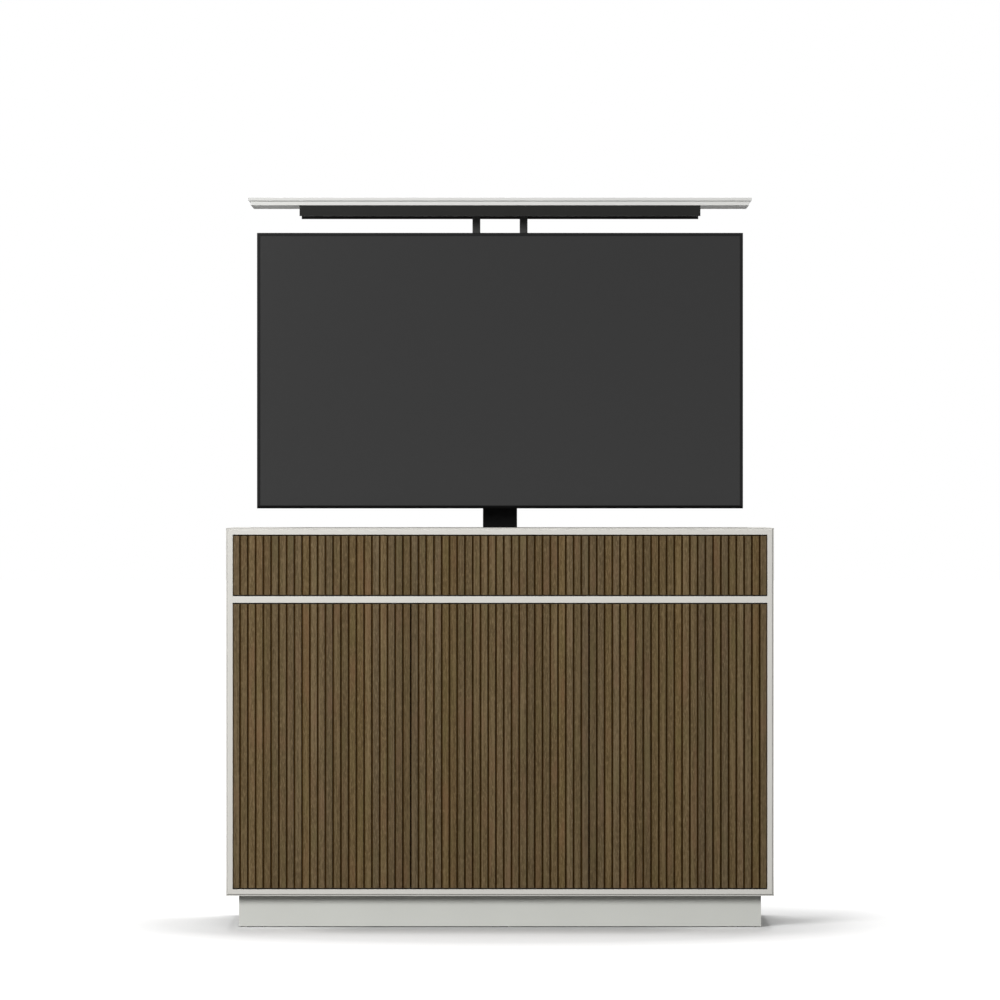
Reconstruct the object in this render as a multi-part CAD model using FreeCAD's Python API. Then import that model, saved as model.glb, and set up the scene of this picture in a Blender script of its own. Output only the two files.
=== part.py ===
import FreeCAD, Part
import os
from FreeCAD import Vector

# TV lift cabinet, shown with its television raised.  Millimetres, +Z up.  The origin is on the
# floor at the centre of the casing's footprint: X runs to the right along the front, Y from the
# front to the back.

# Television: its width sets the lid opening and, with it, the cabinet's width
tv_width = 1238.0
tv_height = 702.0
tv_depth = 50.0

# Lid opening in the top board, and the bay below it
opening_past_tv = 17.5
opening_depth = 190.0
opening_rear_strip = 16.0

# Casing
casing_past_opening = 48.5
cabinet_depth = 450.0
cabinet_height = 1000.0
casing_board = 16.5
edge_strip = 2.5
edge_chamfer = 2.5
inner_board = 16.0

# Plinth and glides
plinth_height = 80.0
plinth_recess = 31.0
plinth_board = 16.0
glide_height = 2.0
glide_length = 40.0
glide_width = 12.0

# Back panel, its rebate and what is set into it
back_panel_thickness = 8.0
back_panel_recess = 4.0
rebate_overlap = 8.0
back_panel_clearance = 0.5
vent_length = 60.0
vent_width = 5.0
vent_pitch = 15.0
vent_count = 20
vent_inset = 318.5
vent_drop = 60.0
port_inset = 148.5
port_height = 150.0
grommet_bore_r = 27.0
grommet_wall = 3.0
grommet_depth = 12.0
grommet_flange = 4.0
flange_thickness = 2.0
inlet_width = 27.0
inlet_height = 20.0
inlet_depth = 25.0
inlet_flange_width = 50.0
inlet_flange_height = 24.0
inlet_socket_wall = 2.0
inlet_socket_depth = 18.0
inlet_pin_recess = 6.0
inlet_pin_spacing = 7.0

# Slatted doors and flap
flap_height = 148.0
door_count = 3
slats_per_door = 23
slat_groove = 4.7
slat_depth = 6.0
slat_round = 0.8
door_panel = 14.0
door_setback = 1.0
door_side_gap = 2.0
door_split_gap = 2.0
door_end_gap = 3.0

# Door and flap pivots
pivot_inset = 34.0
pivot_setback = 10.0
pivot_r = 3.0
pivot_in_panel = 10.0
pivot_in_board = 8.0
pivot_clearance = 0.05
bush_wall = 2.0
bush_depth = 9.0
bush_flange_r = 8.0
bush_flange = 1.0
pivot_collar_r = 5.0
slide_gap = 0.1

# Push-to-open latches
latch_width = 14.0
latch_height = 16.0
latch_length = 70.0
latch_gap = 7.0
latch_from_edge = 40.0
plunger_r = 4.0
plunger_length = 36.0
plunger_travel = 4.0
plunger_clearance = 0.08
plunger_below_middle = 1.0
plunger_round = 1.0
touch_gap = 0.3

# Dividers, shelves and shelf pins
divider_setback = 28.0
shelf_height = 450.0
shelf_setback = 6.0
shelf_side_clearance = 1.0
shelf_rear_clearance = 4.0
shelf_pin_r = 2.5
shelf_pin_in_board = 7.0
shelf_pin_out = 8.0
shelf_pin_inset = 35.0
pin_row_pitch = 32.0
pin_rows_each_way = 2

# Lift column: three tubes, each stage sliding half of the lid's travel
lift_travel = 831.0
middle_tube_width = 87.5
middle_tube_depth = 51.5
tube_wall = 3.0
stage_gap = 3.25
slide_clearance = 0.3
outer_tube_below_top = 293.5
middle_shorter_by = 22.5
head_over_middle = 13.5
collar_depth = 40.0
collar_lip = 2.0
collar_top = 4.0
glide_ring_height = 30.0
base_plate_width = 260.0
base_plate_depth = 100.0
base_plate_thickness = 6.0
base_bolt_inset = 14.0
gearbox_height = 40.0
gearbox_width = 44.0
gearbox_left = 28.0
gearbox_right = 122.0
gearbox_clearance = 0.5
middle_over_gearbox = 8.0
motor_offset = 95.0
motor_r = 21.0
motor_length = 150.0
motor_cap_r = 18.0
motor_cap_height = 6.0

# Spindles and nuts
drive_spindle_r = 8.0
drive_spindle_below_tube = 50.0
drive_spindle_seat = 17.5
drive_collar_r = 12.0
drive_collar_height = 4.0
hollow_spindle_r = 13.0
hollow_spindle_bore_r = 8.5
hollow_spindle_below_tube = 11.0
hollow_nut_length = 36.0
hollow_collar_r = 18.0
hollow_collar_height = 6.0
spindle_clearance = 0.05
foot_height = 20.0
foot_gap = 2.0
lift_nut_height = 30.0

# Television's parts and its mount
tv_bezel = 8.0
tv_lip = 1.5
tv_rim_depth = 16.0
tv_frame_wall = 3.0
tv_screen_thickness = 2.5
tv_module_thickness = 8.0
tv_shell = 2.5
tv_behind_bay_front = 21.0
tv_below_channel = 42.0
bulge_base_inset = 24.0
bulge_flat_inset_x = 185.0
bulge_flat_inset_z = 100.0
tv_vent_count = 18
tv_vent_pitch = 9.0
tv_vent_width = 3.0
tv_vent_length = 26.0
tv_vent_drop = 12.0
tv_vent_group_pitch = 320.0
socket_bay_width = 96.0
socket_bay_height = 150.0
socket_bay_depth = 14.0
socket_bay_inset = 60.0
arm_spacing = 400.0
arm_width = 30.0
arm_depth = 10.0
arm_length = 440.0
arm_sheet = 2.0
vesa_height = 300.0
mount_plate_width = 480.0
mount_plate_height = 220.0
mount_plate_thickness = 3.0
mount_slot_length = 60.0
mount_slot_width = 9.0
mount_slot_inset = 108.0
mount_slot_pitch = 55.0
mount_bolt_inset = 40.0
mount_bolt_rise = 55.0
bracket_width = 160.0
bracket_sheet = 4.0
bracket_to_collar = 5.0
bracket_overhang = 4.0

# Lid, its channel and the posts that carry it
lid_lip_height = 8.0
lid_plug_height = 11.0
lid_clearance = 2.5
lid_overlap = 3.5
lid_round = 0.8
channel_end_inset = 126.5
channel_depth = 158.0
channel_height = 27.5
channel_sheet = 3.0
channel_setback = 2.0
post_spacing = 121.0
post_width = 20.0
post_wall = 2.0
post_foot = 36.0
post_foot_thickness = 4.0
post_setback = 8.0

# Control box
control_width = 160.0
control_depth = 90.0
control_height = 45.0
control_inset = 328.5
control_round = 4.0

# Screws
hole_clearance = 0.1
panel_screw_r = 1.75
panel_screw_head_r = 4.0
panel_screw_length = 24.0
panel_screw_inset = 134.0
panel_screw_columns = 4
panel_screw_rows = 2
base_screw_r = 3.0
base_screw_head_r = 6.5
base_screw_length = 18.0
mount_screw_r = 3.0
mount_screw_head_r = 6.0
lid_screw_r = 2.0
lid_screw_head_r = 4.5
lid_screw_length = 12.0
lid_screw_end_inset = 100.0
lid_screw_side_inset = 32.0
lid_screw_columns = 3
screw_head = 2.5

# Places that follow from the sizes above
opening_width = tv_width + 2 * opening_past_tv
cabinet_width = opening_width + 2 * casing_past_opening
front = -cabinet_depth / 2
back = cabinet_depth / 2
half_width = cabinet_width / 2
inner_half = half_width - casing_board
bay_floor = plinth_height + casing_board
ceiling = cabinet_height - casing_board
flap_top = ceiling - door_end_gap
flap_bottom = flap_top - flap_height
rail_top = flap_bottom - door_end_gap
rail_bottom = rail_top - casing_board
opening_back = back - opening_rear_strip
opening_front = opening_back - opening_depth
partition_front = opening_front - inner_board
panel_rear = back - back_panel_recess
panel_seat = panel_rear - back_panel_thickness
port_offset_x = inner_half - port_inset

door_front = front + door_setback
door_panel_front = door_front + slat_depth
door_rear = door_panel_front + door_panel
door_bottom = bay_floor + door_end_gap
door_top = rail_bottom - door_end_gap
slat_count = door_count * slats_per_door
fronts_left = -inner_half + door_side_gap
slat_pitch = (2 * (inner_half - door_side_gap) + slat_groove) / slat_count
slat_width = slat_pitch - slat_groove
pivot_y = door_front + pivot_setback
flap_pivot_z = flap_bottom + pivot_inset
bush_r = pivot_r + bush_wall
divider_front = door_rear + divider_setback
shelf_front = divider_front + shelf_setback
shelf_rear = partition_front - shelf_rear_clearance
shelf_pin_z = shelf_height - shelf_pin_r - slide_gap
shelf_pin_ys = [shelf_front + shelf_pin_inset, shelf_rear - shelf_pin_inset]

stage_travel = lift_travel / 2
lip_bottom = cabinet_height + lift_travel
plug_bottom = lip_bottom - lid_plug_height
channel_bottom = plug_bottom - channel_height
plug_front = opening_front + lid_clearance
channel_front = plug_front + channel_setback
channel_length = opening_width - 2 * channel_end_inset
tv_top = channel_bottom - tv_below_channel
tv_bottom = tv_top - tv_height
tv_centre = (tv_top + tv_bottom) / 2
tv_front = opening_front + tv_behind_bay_front
tv_rear = tv_front + tv_depth
tv_rim_rear = tv_front + tv_rim_depth
plate_front = tv_rear + arm_depth
bracket_front = plate_front + mount_plate_thickness
bracket_rear = bracket_front + bracket_sheet

outer_inside_width = middle_tube_width + 2 * stage_gap
outer_inside_depth = middle_tube_depth + 2 * stage_gap
outer_tube_width = outer_inside_width + 2 * tube_wall
outer_tube_depth = outer_inside_depth + 2 * tube_wall
middle_inside_width = middle_tube_width - 2 * tube_wall
middle_inside_depth = middle_tube_depth - 2 * tube_wall
inner_tube_width = middle_inside_width - 2 * stage_gap
inner_tube_depth = middle_inside_depth - 2 * stage_gap
inner_inside_width = inner_tube_width - 2 * tube_wall
inner_inside_depth = inner_tube_depth - 2 * tube_wall
column_y = bracket_rear + bracket_to_collar + collar_lip + outer_tube_depth / 2
base_top = bay_floor + base_plate_thickness
gearbox_top = base_top + gearbox_height
outer_top = ceiling - outer_tube_below_top
outer_tube_length = outer_top - base_top
middle_tube_length = outer_tube_length - middle_shorter_by
middle_bottom = gearbox_top + middle_over_gearbox + stage_travel
middle_top = middle_bottom + middle_tube_length
foot_top = middle_bottom + foot_height
inner_bottom = foot_top + hollow_collar_height + foot_gap + stage_travel
head_bottom = middle_top + collar_top + head_over_middle + stage_travel
head_top = head_bottom + bracket_sheet
post_y = bracket_rear + post_setback + post_width / 2
web_bottom = plug_bottom - channel_sheet


def box(x0, x1, y0, y1, z0, z1):
    return Part.makeBox(x1 - x0, y1 - y0, z1 - z0, Vector(x0, y0, z0))


def rod_x(radius, x0, x1, y, z):
    return Part.makeCylinder(radius, x1 - x0, Vector(x0, y, z), Vector(1, 0, 0))


def rod_y(radius, y0, y1, x, z):
    return Part.makeCylinder(radius, y1 - y0, Vector(x, y0, z), Vector(0, 1, 0))


def rod_z(radius, z0, z1, x, y):
    return Part.makeCylinder(radius, z1 - z0, Vector(x, y, z0), Vector(0, 0, 1))


def prism_y(corners_xz, y0, y1):
    corners = [Vector(x, y0, z) for x, z in corners_xz]
    outline = Part.makePolygon(corners + corners[:1])
    return Part.Face(outline).extrude(Vector(0, y1 - y0, 0))


def spread(first, last, count):
    """Evenly spaced places from the first to the last."""
    return [first + index * (last - first) / (count - 1) for index in range(count)]


def cut_all(shape, cutters):
    for cutter in cutters:
        shape = shape.cut(cutter)
    return shape


def fuse_all(shapes):
    whole = shapes[0]
    for shape in shapes[1:]:
        whole = whole.fuse(shape)
    return whole.removeSplitter()


def column_tube(width, depth, z0, z1):
    """Solid bar of the column's section, centred on the column."""
    return box(-width / 2, width / 2, column_y - depth / 2, column_y + depth / 2, z0, z1)


def screw(seat, outward, head_r, shank_r, length):
    """Pan-head screw: its head stands out of the seat, its shank goes in."""
    head = Part.makeCylinder(head_r, screw_head, seat, outward)
    shank = Part.makeCylinder(shank_r, length, seat, -outward)
    return head.fuse(shank).removeSplitter()


def screw_hole(seat, outward, shank_r, length):
    return Part.makeCylinder(shank_r + hole_clearance, length + hole_clearance, seat, -outward)


# Casing boards -----------------------------------------------------------------------------------

def front_edge_cutter():
    """Leaves a set-back strip and a slope all round the casing's front edge."""
    step_back = front + edge_chamfer
    slope_in = edge_strip + edge_chamfer
    ring = box(-half_width - 1, half_width + 1, front - 1, step_back,
               plinth_height - 1, cabinet_height + 1)
    raised = Part.makeWedge(-half_width + slope_in, front, plinth_height + slope_in,
                            plinth_height + edge_strip, -half_width + edge_strip,
                            half_width - slope_in, step_back, cabinet_height - slope_in,
                            cabinet_height - edge_strip, half_width - edge_strip)
    return ring.cut(raised)


def back_rebate():
    reach = rebate_overlap
    return box(-inner_half - reach, inner_half + reach, panel_seat, back + 1,
               bay_floor - reach, ceiling + reach)


def casing_cut(board):
    return cut_all(board, [front_edge_cutter(), back_rebate()] + panel_screw_holes())


def side_board(side):
    corners = [(side * half_width, plinth_height), (side * half_width, cabinet_height),
               (side * inner_half, ceiling), (side * inner_half, bay_floor)]
    board = casing_cut(prism_y(corners, front, back))
    bush_hole = bush_pocket_x(side)
    return cut_all(board, [bush_hole] + shelf_pin_holes())


def top_board():
    corners = [(-half_width, cabinet_height), (half_width, cabinet_height),
               (inner_half, ceiling), (-inner_half, ceiling)]
    opening = box(-opening_width / 2, opening_width / 2, opening_front, opening_back,
                  ceiling - 1, cabinet_height + 1)
    return casing_cut(prism_y(corners, front, back)).cut(opening)


def bottom_board():
    corners = [(-half_width, plinth_height), (half_width, plinth_height),
               (inner_half, bay_floor), (-inner_half, bay_floor)]
    board = casing_cut(prism_y(corners, front, back))
    bush_holes = [bush_pocket_z(x, bay_floor, -1) for x in door_pivot_xs()]
    return cut_all(board, bush_holes + base_screw_holes())


def middle_shelf():
    board = box(-inner_half, inner_half, front, partition_front, rail_bottom, rail_top)
    return cut_all(board, [bush_pocket_z(x, rail_bottom, 1) for x in door_pivot_xs()])


def bay_partition():
    return box(-inner_half, inner_half, partition_front, opening_front, bay_floor, ceiling)


def split_x(index):
    """Centre of the gap to the right of a door."""
    return fronts_left + (index + 1) * slats_per_door * slat_pitch - slat_groove / 2


def compartment_dividers():
    boards = []
    for index in range(door_count - 1):
        x = split_x(index)
        board = box(x - inner_board / 2, x + inner_board / 2, divider_front, partition_front,
                    bay_floor, rail_bottom)
        boards.append(cut_all(board, shelf_pin_holes()))
    return Part.makeCompound(boards)


# Plinth ------------------------------------------------------------------------------------------

plinth_half = half_width - plinth_recess
plinth_front_y = front + plinth_recess
plinth_back_y = back - plinth_recess


def plinth_boards():
    """Front and back boards, and the two side boards between them."""
    inside = plinth_half - plinth_board
    front_inside = plinth_front_y + plinth_board
    back_inside = plinth_back_y - plinth_board
    return Part.makeCompound([
        box(-plinth_half, plinth_half, plinth_front_y, front_inside, glide_height, plinth_height),
        box(-plinth_half, plinth_half, back_inside, plinth_back_y, glide_height, plinth_height),
        box(-plinth_half, -inside, front_inside, back_inside, glide_height, plinth_height),
        box(inside, plinth_half, front_inside, back_inside, glide_height, plinth_height),
    ])


def floor_glides():
    """Flat pads under the plinth boards: three at the front, three at the back, one a side."""
    pads = []
    end_x = plinth_half - glide_length
    for y in (plinth_front_y + plinth_board / 2, plinth_back_y - plinth_board / 2):
        for x in (-end_x, 0, end_x):
            pads.append(box(x - glide_length / 2, x + glide_length / 2,
                            y - glide_width / 2, y + glide_width / 2, 0, glide_height))
    for side in (-1, 1):
        x = side * (plinth_half - plinth_board / 2)
        pads.append(box(x - glide_width / 2, x + glide_width / 2,
                        -glide_length / 2, glide_length / 2, 0, glide_height))
    return Part.makeCompound(pads)


# Back panel --------------------------------------------------------------------------------------

def panel_screw_seats():
    """Screw places along the rebate, half its overlap outside the inner faces."""
    edge_x = inner_half + rebate_overlap / 2
    low = bay_floor - rebate_overlap / 2
    high = ceiling + rebate_overlap / 2
    seats = []
    for x in spread(-inner_half + panel_screw_inset, inner_half - panel_screw_inset,
                    panel_screw_columns):
        seats.append(Vector(x, panel_rear, low))
        seats.append(Vector(x, panel_rear, high))
    for z in spread(bay_floor + panel_screw_inset, ceiling - panel_screw_inset, panel_screw_rows):
        seats.append(Vector(-edge_x, panel_rear, z))
        seats.append(Vector(edge_x, panel_rear, z))
    return seats


def top_screw_length(seat):
    """Screws into the strip behind the lid opening are as short as that strip."""
    if seat.z > ceiling:
        return panel_rear - opening_back - hole_clearance - 1
    return panel_screw_length


def panel_screw_holes():
    return [screw_hole(seat, Vector(0, 1, 0), panel_screw_r, top_screw_length(seat))
            for seat in panel_screw_seats()]


def back_panel():
    reach = rebate_overlap - back_panel_clearance
    panel = box(-inner_half - reach, inner_half + reach, panel_seat, panel_rear,
                bay_floor - reach, ceiling + reach)
    cutters = panel_screw_holes()
    for side in (-1, 1):
        for slot in range(vent_count):
            x = side * (inner_half - vent_inset) + (slot - (vent_count - 1) / 2) * vent_pitch
            cutters.append(box(x - vent_width / 2, x + vent_width / 2, panel_seat - 1, panel_rear + 1,
                               ceiling - vent_drop - vent_length, ceiling - vent_drop))
    cutters.append(rod_y(grommet_bore_r + grommet_wall, panel_seat - 1, panel_rear + 1,
                         port_offset_x, port_height))
    cutters.append(box(-port_offset_x - inlet_width / 2, -port_offset_x + inlet_width / 2,
                       panel_seat - 1, panel_rear + 1,
                       port_height - inlet_height / 2, port_height + inlet_height / 2))
    return cut_all(panel, cutters)


def cable_grommet():
    tube_r = grommet_bore_r + grommet_wall
    tube_front = panel_rear - grommet_depth + flange_thickness
    tube = rod_y(tube_r - hole_clearance, tube_front, panel_rear, port_offset_x, port_height)
    flange = rod_y(tube_r + grommet_flange, panel_rear, panel_rear + flange_thickness,
                   port_offset_x, port_height)
    bore = rod_y(grommet_bore_r, tube_front - 1, back + 1, port_offset_x, port_height)
    return tube.fuse(flange).cut(bore).removeSplitter()


def power_inlet():
    """Panel socket with three flat pins in a recess that faces the rear."""
    x = -port_offset_x
    half_w = inlet_width / 2
    half_h = inlet_height / 2
    face = panel_rear + flange_thickness
    flange = box(x - inlet_flange_width / 2, x + inlet_flange_width / 2, panel_rear, face,
                 port_height - inlet_flange_height / 2, port_height + inlet_flange_height / 2)
    body = box(x - half_w + hole_clearance, x + half_w - hole_clearance,
               panel_rear - inlet_depth, panel_rear,
               port_height - half_h + hole_clearance, port_height + half_h - hole_clearance)
    socket = box(x - half_w + inlet_socket_wall, x + half_w - inlet_socket_wall,
                 face - inlet_socket_depth, face + 1,
                 port_height - half_h + inlet_socket_wall, port_height + half_h - inlet_socket_wall)
    shell = flange.fuse(body).cut(socket)
    pins = []
    for step, rise in ((-1, -2), (0, 2), (1, -2)):
        pin_x = x + step * inlet_pin_spacing
        pin_z = port_height + rise
        pins.append(box(pin_x - 1, pin_x + 1, face - inlet_socket_depth - 1, face - inlet_pin_recess,
                        pin_z - 2, pin_z + 2))
    return fuse_all([shell] + pins)


# Shelves -----------------------------------------------------------------------------------------

def compartment_walls(index):
    left = -inner_half if index == 0 else split_x(index - 1) + inner_board / 2
    right = inner_half if index == door_count - 1 else split_x(index) - inner_board / 2
    return left, right


def adjustable_shelves():
    boards = []
    for index in range(door_count):
        left, right = compartment_walls(index)
        boards.append(box(left + shelf_side_clearance, right - shelf_side_clearance,
                          shelf_front, shelf_rear, shelf_height, shelf_height + inner_board))
    return Part.makeCompound(boards)


def shelf_pins():
    pins = []
    for index in range(door_count):
        left, right = compartment_walls(index)
        for y in shelf_pin_ys:
            pins.append(rod_x(shelf_pin_r, left - shelf_pin_in_board, left + shelf_pin_out,
                              y, shelf_pin_z))
            pins.append(rod_x(shelf_pin_r, right - shelf_pin_out, right + shelf_pin_in_board,
                              y, shelf_pin_z))
    return Part.makeCompound(pins)


def shelf_pin_holes():
    """Rows of holes on both sides of every compartment."""
    holes = []
    for index in range(door_count):
        left, right = compartment_walls(index)
        for y in shelf_pin_ys:
            for row in range(-pin_rows_each_way, pin_rows_each_way + 1):
                z = shelf_pin_z + row * pin_row_pitch
                depth = shelf_pin_in_board + hole_clearance
                holes.append(rod_x(shelf_pin_r + hole_clearance, left - depth, left + 1, y, z))
                holes.append(rod_x(shelf_pin_r + hole_clearance, right - 1, right + depth, y, z))
    return holes


# Slatted doors and flap --------------------------------------------------------------------------

def slats(first, count, z0, z1):
    """Upright slats with rounded front edges, from the given slat of the front."""
    x0 = fronts_left + first * slat_pitch
    bar = box(x0, x0 + slat_width, door_front, door_panel_front, z0, z1)
    front_edges = [edge for edge in bar.Edges
                   if all(abs(corner.Y - door_front) < 0.01 for corner in edge.Vertexes)]
    bar = bar.makeFillet(slat_round, front_edges)
    bars = []
    for index in range(count):
        copy = bar.copy()
        copy.translate(Vector(index * slat_pitch, 0, 0))
        bars.append(copy)
    return Part.makeCompound(bars)


def door_edges(index):
    """Left and right edge of a door's panel: half the groove less half the gap past its slats."""
    reach = (slat_groove - door_split_gap) / 2
    left = fronts_left + index * slats_per_door * slat_pitch
    right = left + slats_per_door * slat_pitch - slat_groove
    if index > 0:
        left -= reach
    if index < door_count - 1:
        right += reach
    return left, right


def door_pivot_x(index):
    """The last door hangs on its right edge, the others on their left."""
    left, right = door_edges(index)
    if index == door_count - 1:
        return right - pivot_inset
    return left + pivot_inset


def door_pivot_xs():
    return [door_pivot_x(index) for index in range(door_count)]


def door_backing(index):
    left, right = door_edges(index)
    panel = box(left, right, door_panel_front, door_rear, door_bottom, door_top)
    x = door_pivot_x(index)
    hole_r = pivot_r + hole_clearance
    low = rod_z(hole_r, door_bottom - 1, door_bottom + pivot_in_panel + hole_clearance, x, pivot_y)
    high = rod_z(hole_r, door_top - pivot_in_panel - hole_clearance, door_top + 1, x, pivot_y)
    return cut_all(panel, [low, high])


def door_slats(index):
    return slats(index * slats_per_door, slats_per_door, door_bottom, door_top)


def door_pins(index):
    """Top pin, and a bottom pin whose collar carries the door on its bush."""
    x = door_pivot_x(index)
    top_pin = rod_z(pivot_r, door_top - pivot_in_panel, rail_bottom + pivot_in_board, x, pivot_y)
    low_pin = rod_z(pivot_r, bay_floor - pivot_in_board, door_bottom + pivot_in_panel, x, pivot_y)
    collar = rod_z(pivot_collar_r, bay_floor + bush_flange + slide_gap, door_bottom, x, pivot_y)
    return Part.makeCompound([top_pin, low_pin.fuse(collar).removeSplitter()])


def flap_backing():
    panel = box(fronts_left, -fronts_left, door_panel_front, door_rear, flap_bottom, flap_top)
    hole_r = pivot_r + hole_clearance
    depth = pivot_in_panel + hole_clearance
    left = rod_x(hole_r, fronts_left - 1, fronts_left + depth, pivot_y, flap_pivot_z)
    right = rod_x(hole_r, -fronts_left - depth, -fronts_left + 1, pivot_y, flap_pivot_z)
    return cut_all(panel, [left, right])


def flap_slats():
    return slats(0, slat_count, flap_bottom, flap_top)


def flap_pins():
    pins = []
    for side in (-1, 1):
        in_panel = side * (-fronts_left - pivot_in_panel)
        in_board = side * (inner_half + pivot_in_board)
        pins.append(rod_x(pivot_r, min(in_panel, in_board), max(in_panel, in_board),
                          pivot_y, flap_pivot_z))
    return Part.makeCompound(pins)


def bush_pocket_z(x, face, into):
    """Hole for a bush: from the board's face, upward for into 1 and downward for -1."""
    depth = bush_depth + hole_clearance
    z0 = face if into > 0 else face - depth
    return rod_z(bush_r + hole_clearance, z0, z0 + depth, x, pivot_y)


def bush_pocket_x(side):
    depth = bush_depth + hole_clearance
    x0 = inner_half if side > 0 else -inner_half - depth
    return rod_x(bush_r + hole_clearance, x0, x0 + depth, pivot_y, flap_pivot_z)


def bush(centre, into):
    """Flanged bush: its flange lies on the board's face, its sleeve goes into the board."""
    sleeve = Part.makeCylinder(bush_r, bush_depth, centre, into)
    flange = Part.makeCylinder(bush_flange_r, bush_flange, centre, -into)
    bore_start = centre - into * (bush_flange + 1)
    bore = Part.makeCylinder(pivot_r + pivot_clearance, bush_flange + bush_depth + 2, bore_start, into)
    return sleeve.fuse(flange).cut(bore).removeSplitter()


def pivot_bushes():
    bushes = []
    for x in door_pivot_xs():
        bushes.append(bush(Vector(x, pivot_y, rail_bottom), Vector(0, 0, 1)))
        bushes.append(bush(Vector(x, pivot_y, bay_floor), Vector(0, 0, -1)))
    for side in (-1, 1):
        bushes.append(bush(Vector(side * inner_half, pivot_y, flap_pivot_z), Vector(side, 0, 0)))
    return Part.makeCompound(bushes)


# Push-to-open latches ----------------------------------------------------------------------------

def latch_places():
    """Centre x and the height of the board's underside that carries each latch."""
    places = []
    for index in range(door_count):
        left, right = door_edges(index)
        free_x = left + latch_from_edge if index == door_count - 1 else right - latch_from_edge
        places.append((free_x, rail_bottom))
    places.append((0.0, ceiling))
    return places


def latch_z(underside):
    return underside - latch_height / 2 - plunger_below_middle


def latch_bodies():
    bodies = []
    front_y = door_rear + latch_gap
    for x, underside in latch_places():
        body = box(x - latch_width / 2, x + latch_width / 2, front_y, front_y + latch_length,
                   underside - latch_height, underside)
        plunger_end = door_rear + touch_gap + plunger_length + plunger_travel + 1
        bore = rod_y(plunger_r + plunger_clearance, front_y - 1, plunger_end, x, latch_z(underside))
        bodies.append(body.cut(bore))
    return Part.makeCompound(bodies)


def latch_plunger(place):
    x, underside = place
    y0 = door_rear + touch_gap
    plunger = rod_y(plunger_r, y0, y0 + plunger_length, x, latch_z(underside))
    tip_edge = [edge for edge in plunger.Edges if edge.BoundBox.YMax < y0 + 0.01]
    return plunger.makeFillet(plunger_round, tip_edge)


# Lift column -------------------------------------------------------------------------------------

def base_screw_seats():
    seats = []
    for x in (-1, 1):
        for y in (-1, 1):
            seats.append(Vector(x * (base_plate_width / 2 - base_bolt_inset),
                                column_y + y * (base_plate_depth / 2 - base_bolt_inset), base_top))
    return seats


def base_screw_holes():
    return [screw_hole(seat, Vector(0, 0, 1), base_screw_r, base_screw_length)
            for seat in base_screw_seats()]


def base_plate():
    plate = box(-base_plate_width / 2, base_plate_width / 2, column_y - base_plate_depth / 2,
                column_y + base_plate_depth / 2, bay_floor, base_top)
    return cut_all(plate, base_screw_holes())


def outer_tube():
    tube = column_tube(outer_tube_width, outer_tube_depth, base_top, outer_top)
    inside = column_tube(outer_inside_width, outer_inside_depth, base_top - 1, outer_top + 1)
    half = gearbox_width / 2 + gearbox_clearance
    window = box(0, outer_tube_width, column_y - half, column_y + half,
                 base_top - 1, gearbox_top + gearbox_clearance)
    return tube.cut(inside).cut(window)


def guide_collar(inside_width, inside_depth, tube_width, tube_depth, slider_width, slider_depth,
                 tube_top):
    """Ring pressed into a tube's mouth, with a lip over the tube's rim."""
    plug = column_tube(inside_width, inside_depth, tube_top - collar_depth, tube_top)
    lip = column_tube(tube_width, tube_depth, tube_top, tube_top + collar_top)
    gap = 2 * slide_clearance
    bore = column_tube(slider_width + gap, slider_depth + gap,
                       tube_top - collar_depth - 1, tube_top + collar_top + 1)
    return plug.fuse(lip).cut(bore).removeSplitter()


def outer_collar():
    return guide_collar(outer_inside_width, outer_inside_depth,
                        outer_tube_width + 2 * collar_lip, outer_tube_depth + 2 * collar_lip,
                        middle_tube_width, middle_tube_depth, outer_top)


def gearbox():
    y0 = column_y - gearbox_width / 2
    housing = box(-gearbox_left, gearbox_right, y0, y0 + gearbox_width, base_top, gearbox_top)
    seat = rod_z(drive_spindle_r + spindle_clearance, gearbox_top - drive_spindle_seat,
                 gearbox_top + 1, 0, column_y)
    return housing.cut(seat)


def motor():
    top = gearbox_top + motor_length
    can = rod_z(motor_r, gearbox_top, top, motor_offset, column_y)
    cap = rod_z(motor_cap_r, top, top + motor_cap_height, motor_offset, column_y)
    return can.fuse(cap).removeSplitter()


def drive_spindle():
    """Solid screw, left-hand, drawn at its outside diameter without the thread."""
    z0 = gearbox_top - drive_spindle_seat
    shaft = rod_z(drive_spindle_r, z0, outer_top - drive_spindle_below_tube, 0, column_y)
    collar_z = gearbox_top + slide_gap
    collar = rod_z(drive_collar_r, collar_z, collar_z + drive_collar_height, 0, column_y)
    return shaft.fuse(collar).removeSplitter()


def middle_tube():
    tube = column_tube(middle_tube_width, middle_tube_depth, middle_bottom, middle_top)
    inside = column_tube(middle_inside_width, middle_inside_depth,
                         middle_bottom - 1, middle_top + 1)
    return tube.cut(inside)


def middle_foot():
    block = column_tube(middle_inside_width, middle_inside_depth, middle_bottom, foot_top)
    bore = rod_z(hollow_spindle_r + spindle_clearance, middle_bottom - 1, foot_top + 1, 0, column_y)
    return block.cut(bore)


def glide_ring(width, depth, z0):
    """Slide ring round the lower end of a tube."""
    reach = 2 * (stage_gap - slide_clearance)
    ring = column_tube(width + reach, depth + reach, z0, z0 + glide_ring_height)
    hole = column_tube(width, depth, z0 - 1, z0 + glide_ring_height + 1)
    return ring.cut(hole)


def middle_glide_ring():
    return glide_ring(middle_tube_width, middle_tube_depth, middle_bottom)


def middle_collar():
    return guide_collar(middle_inside_width, middle_inside_depth,
                        middle_tube_width, middle_tube_depth,
                        inner_tube_width, inner_tube_depth, middle_top)


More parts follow.
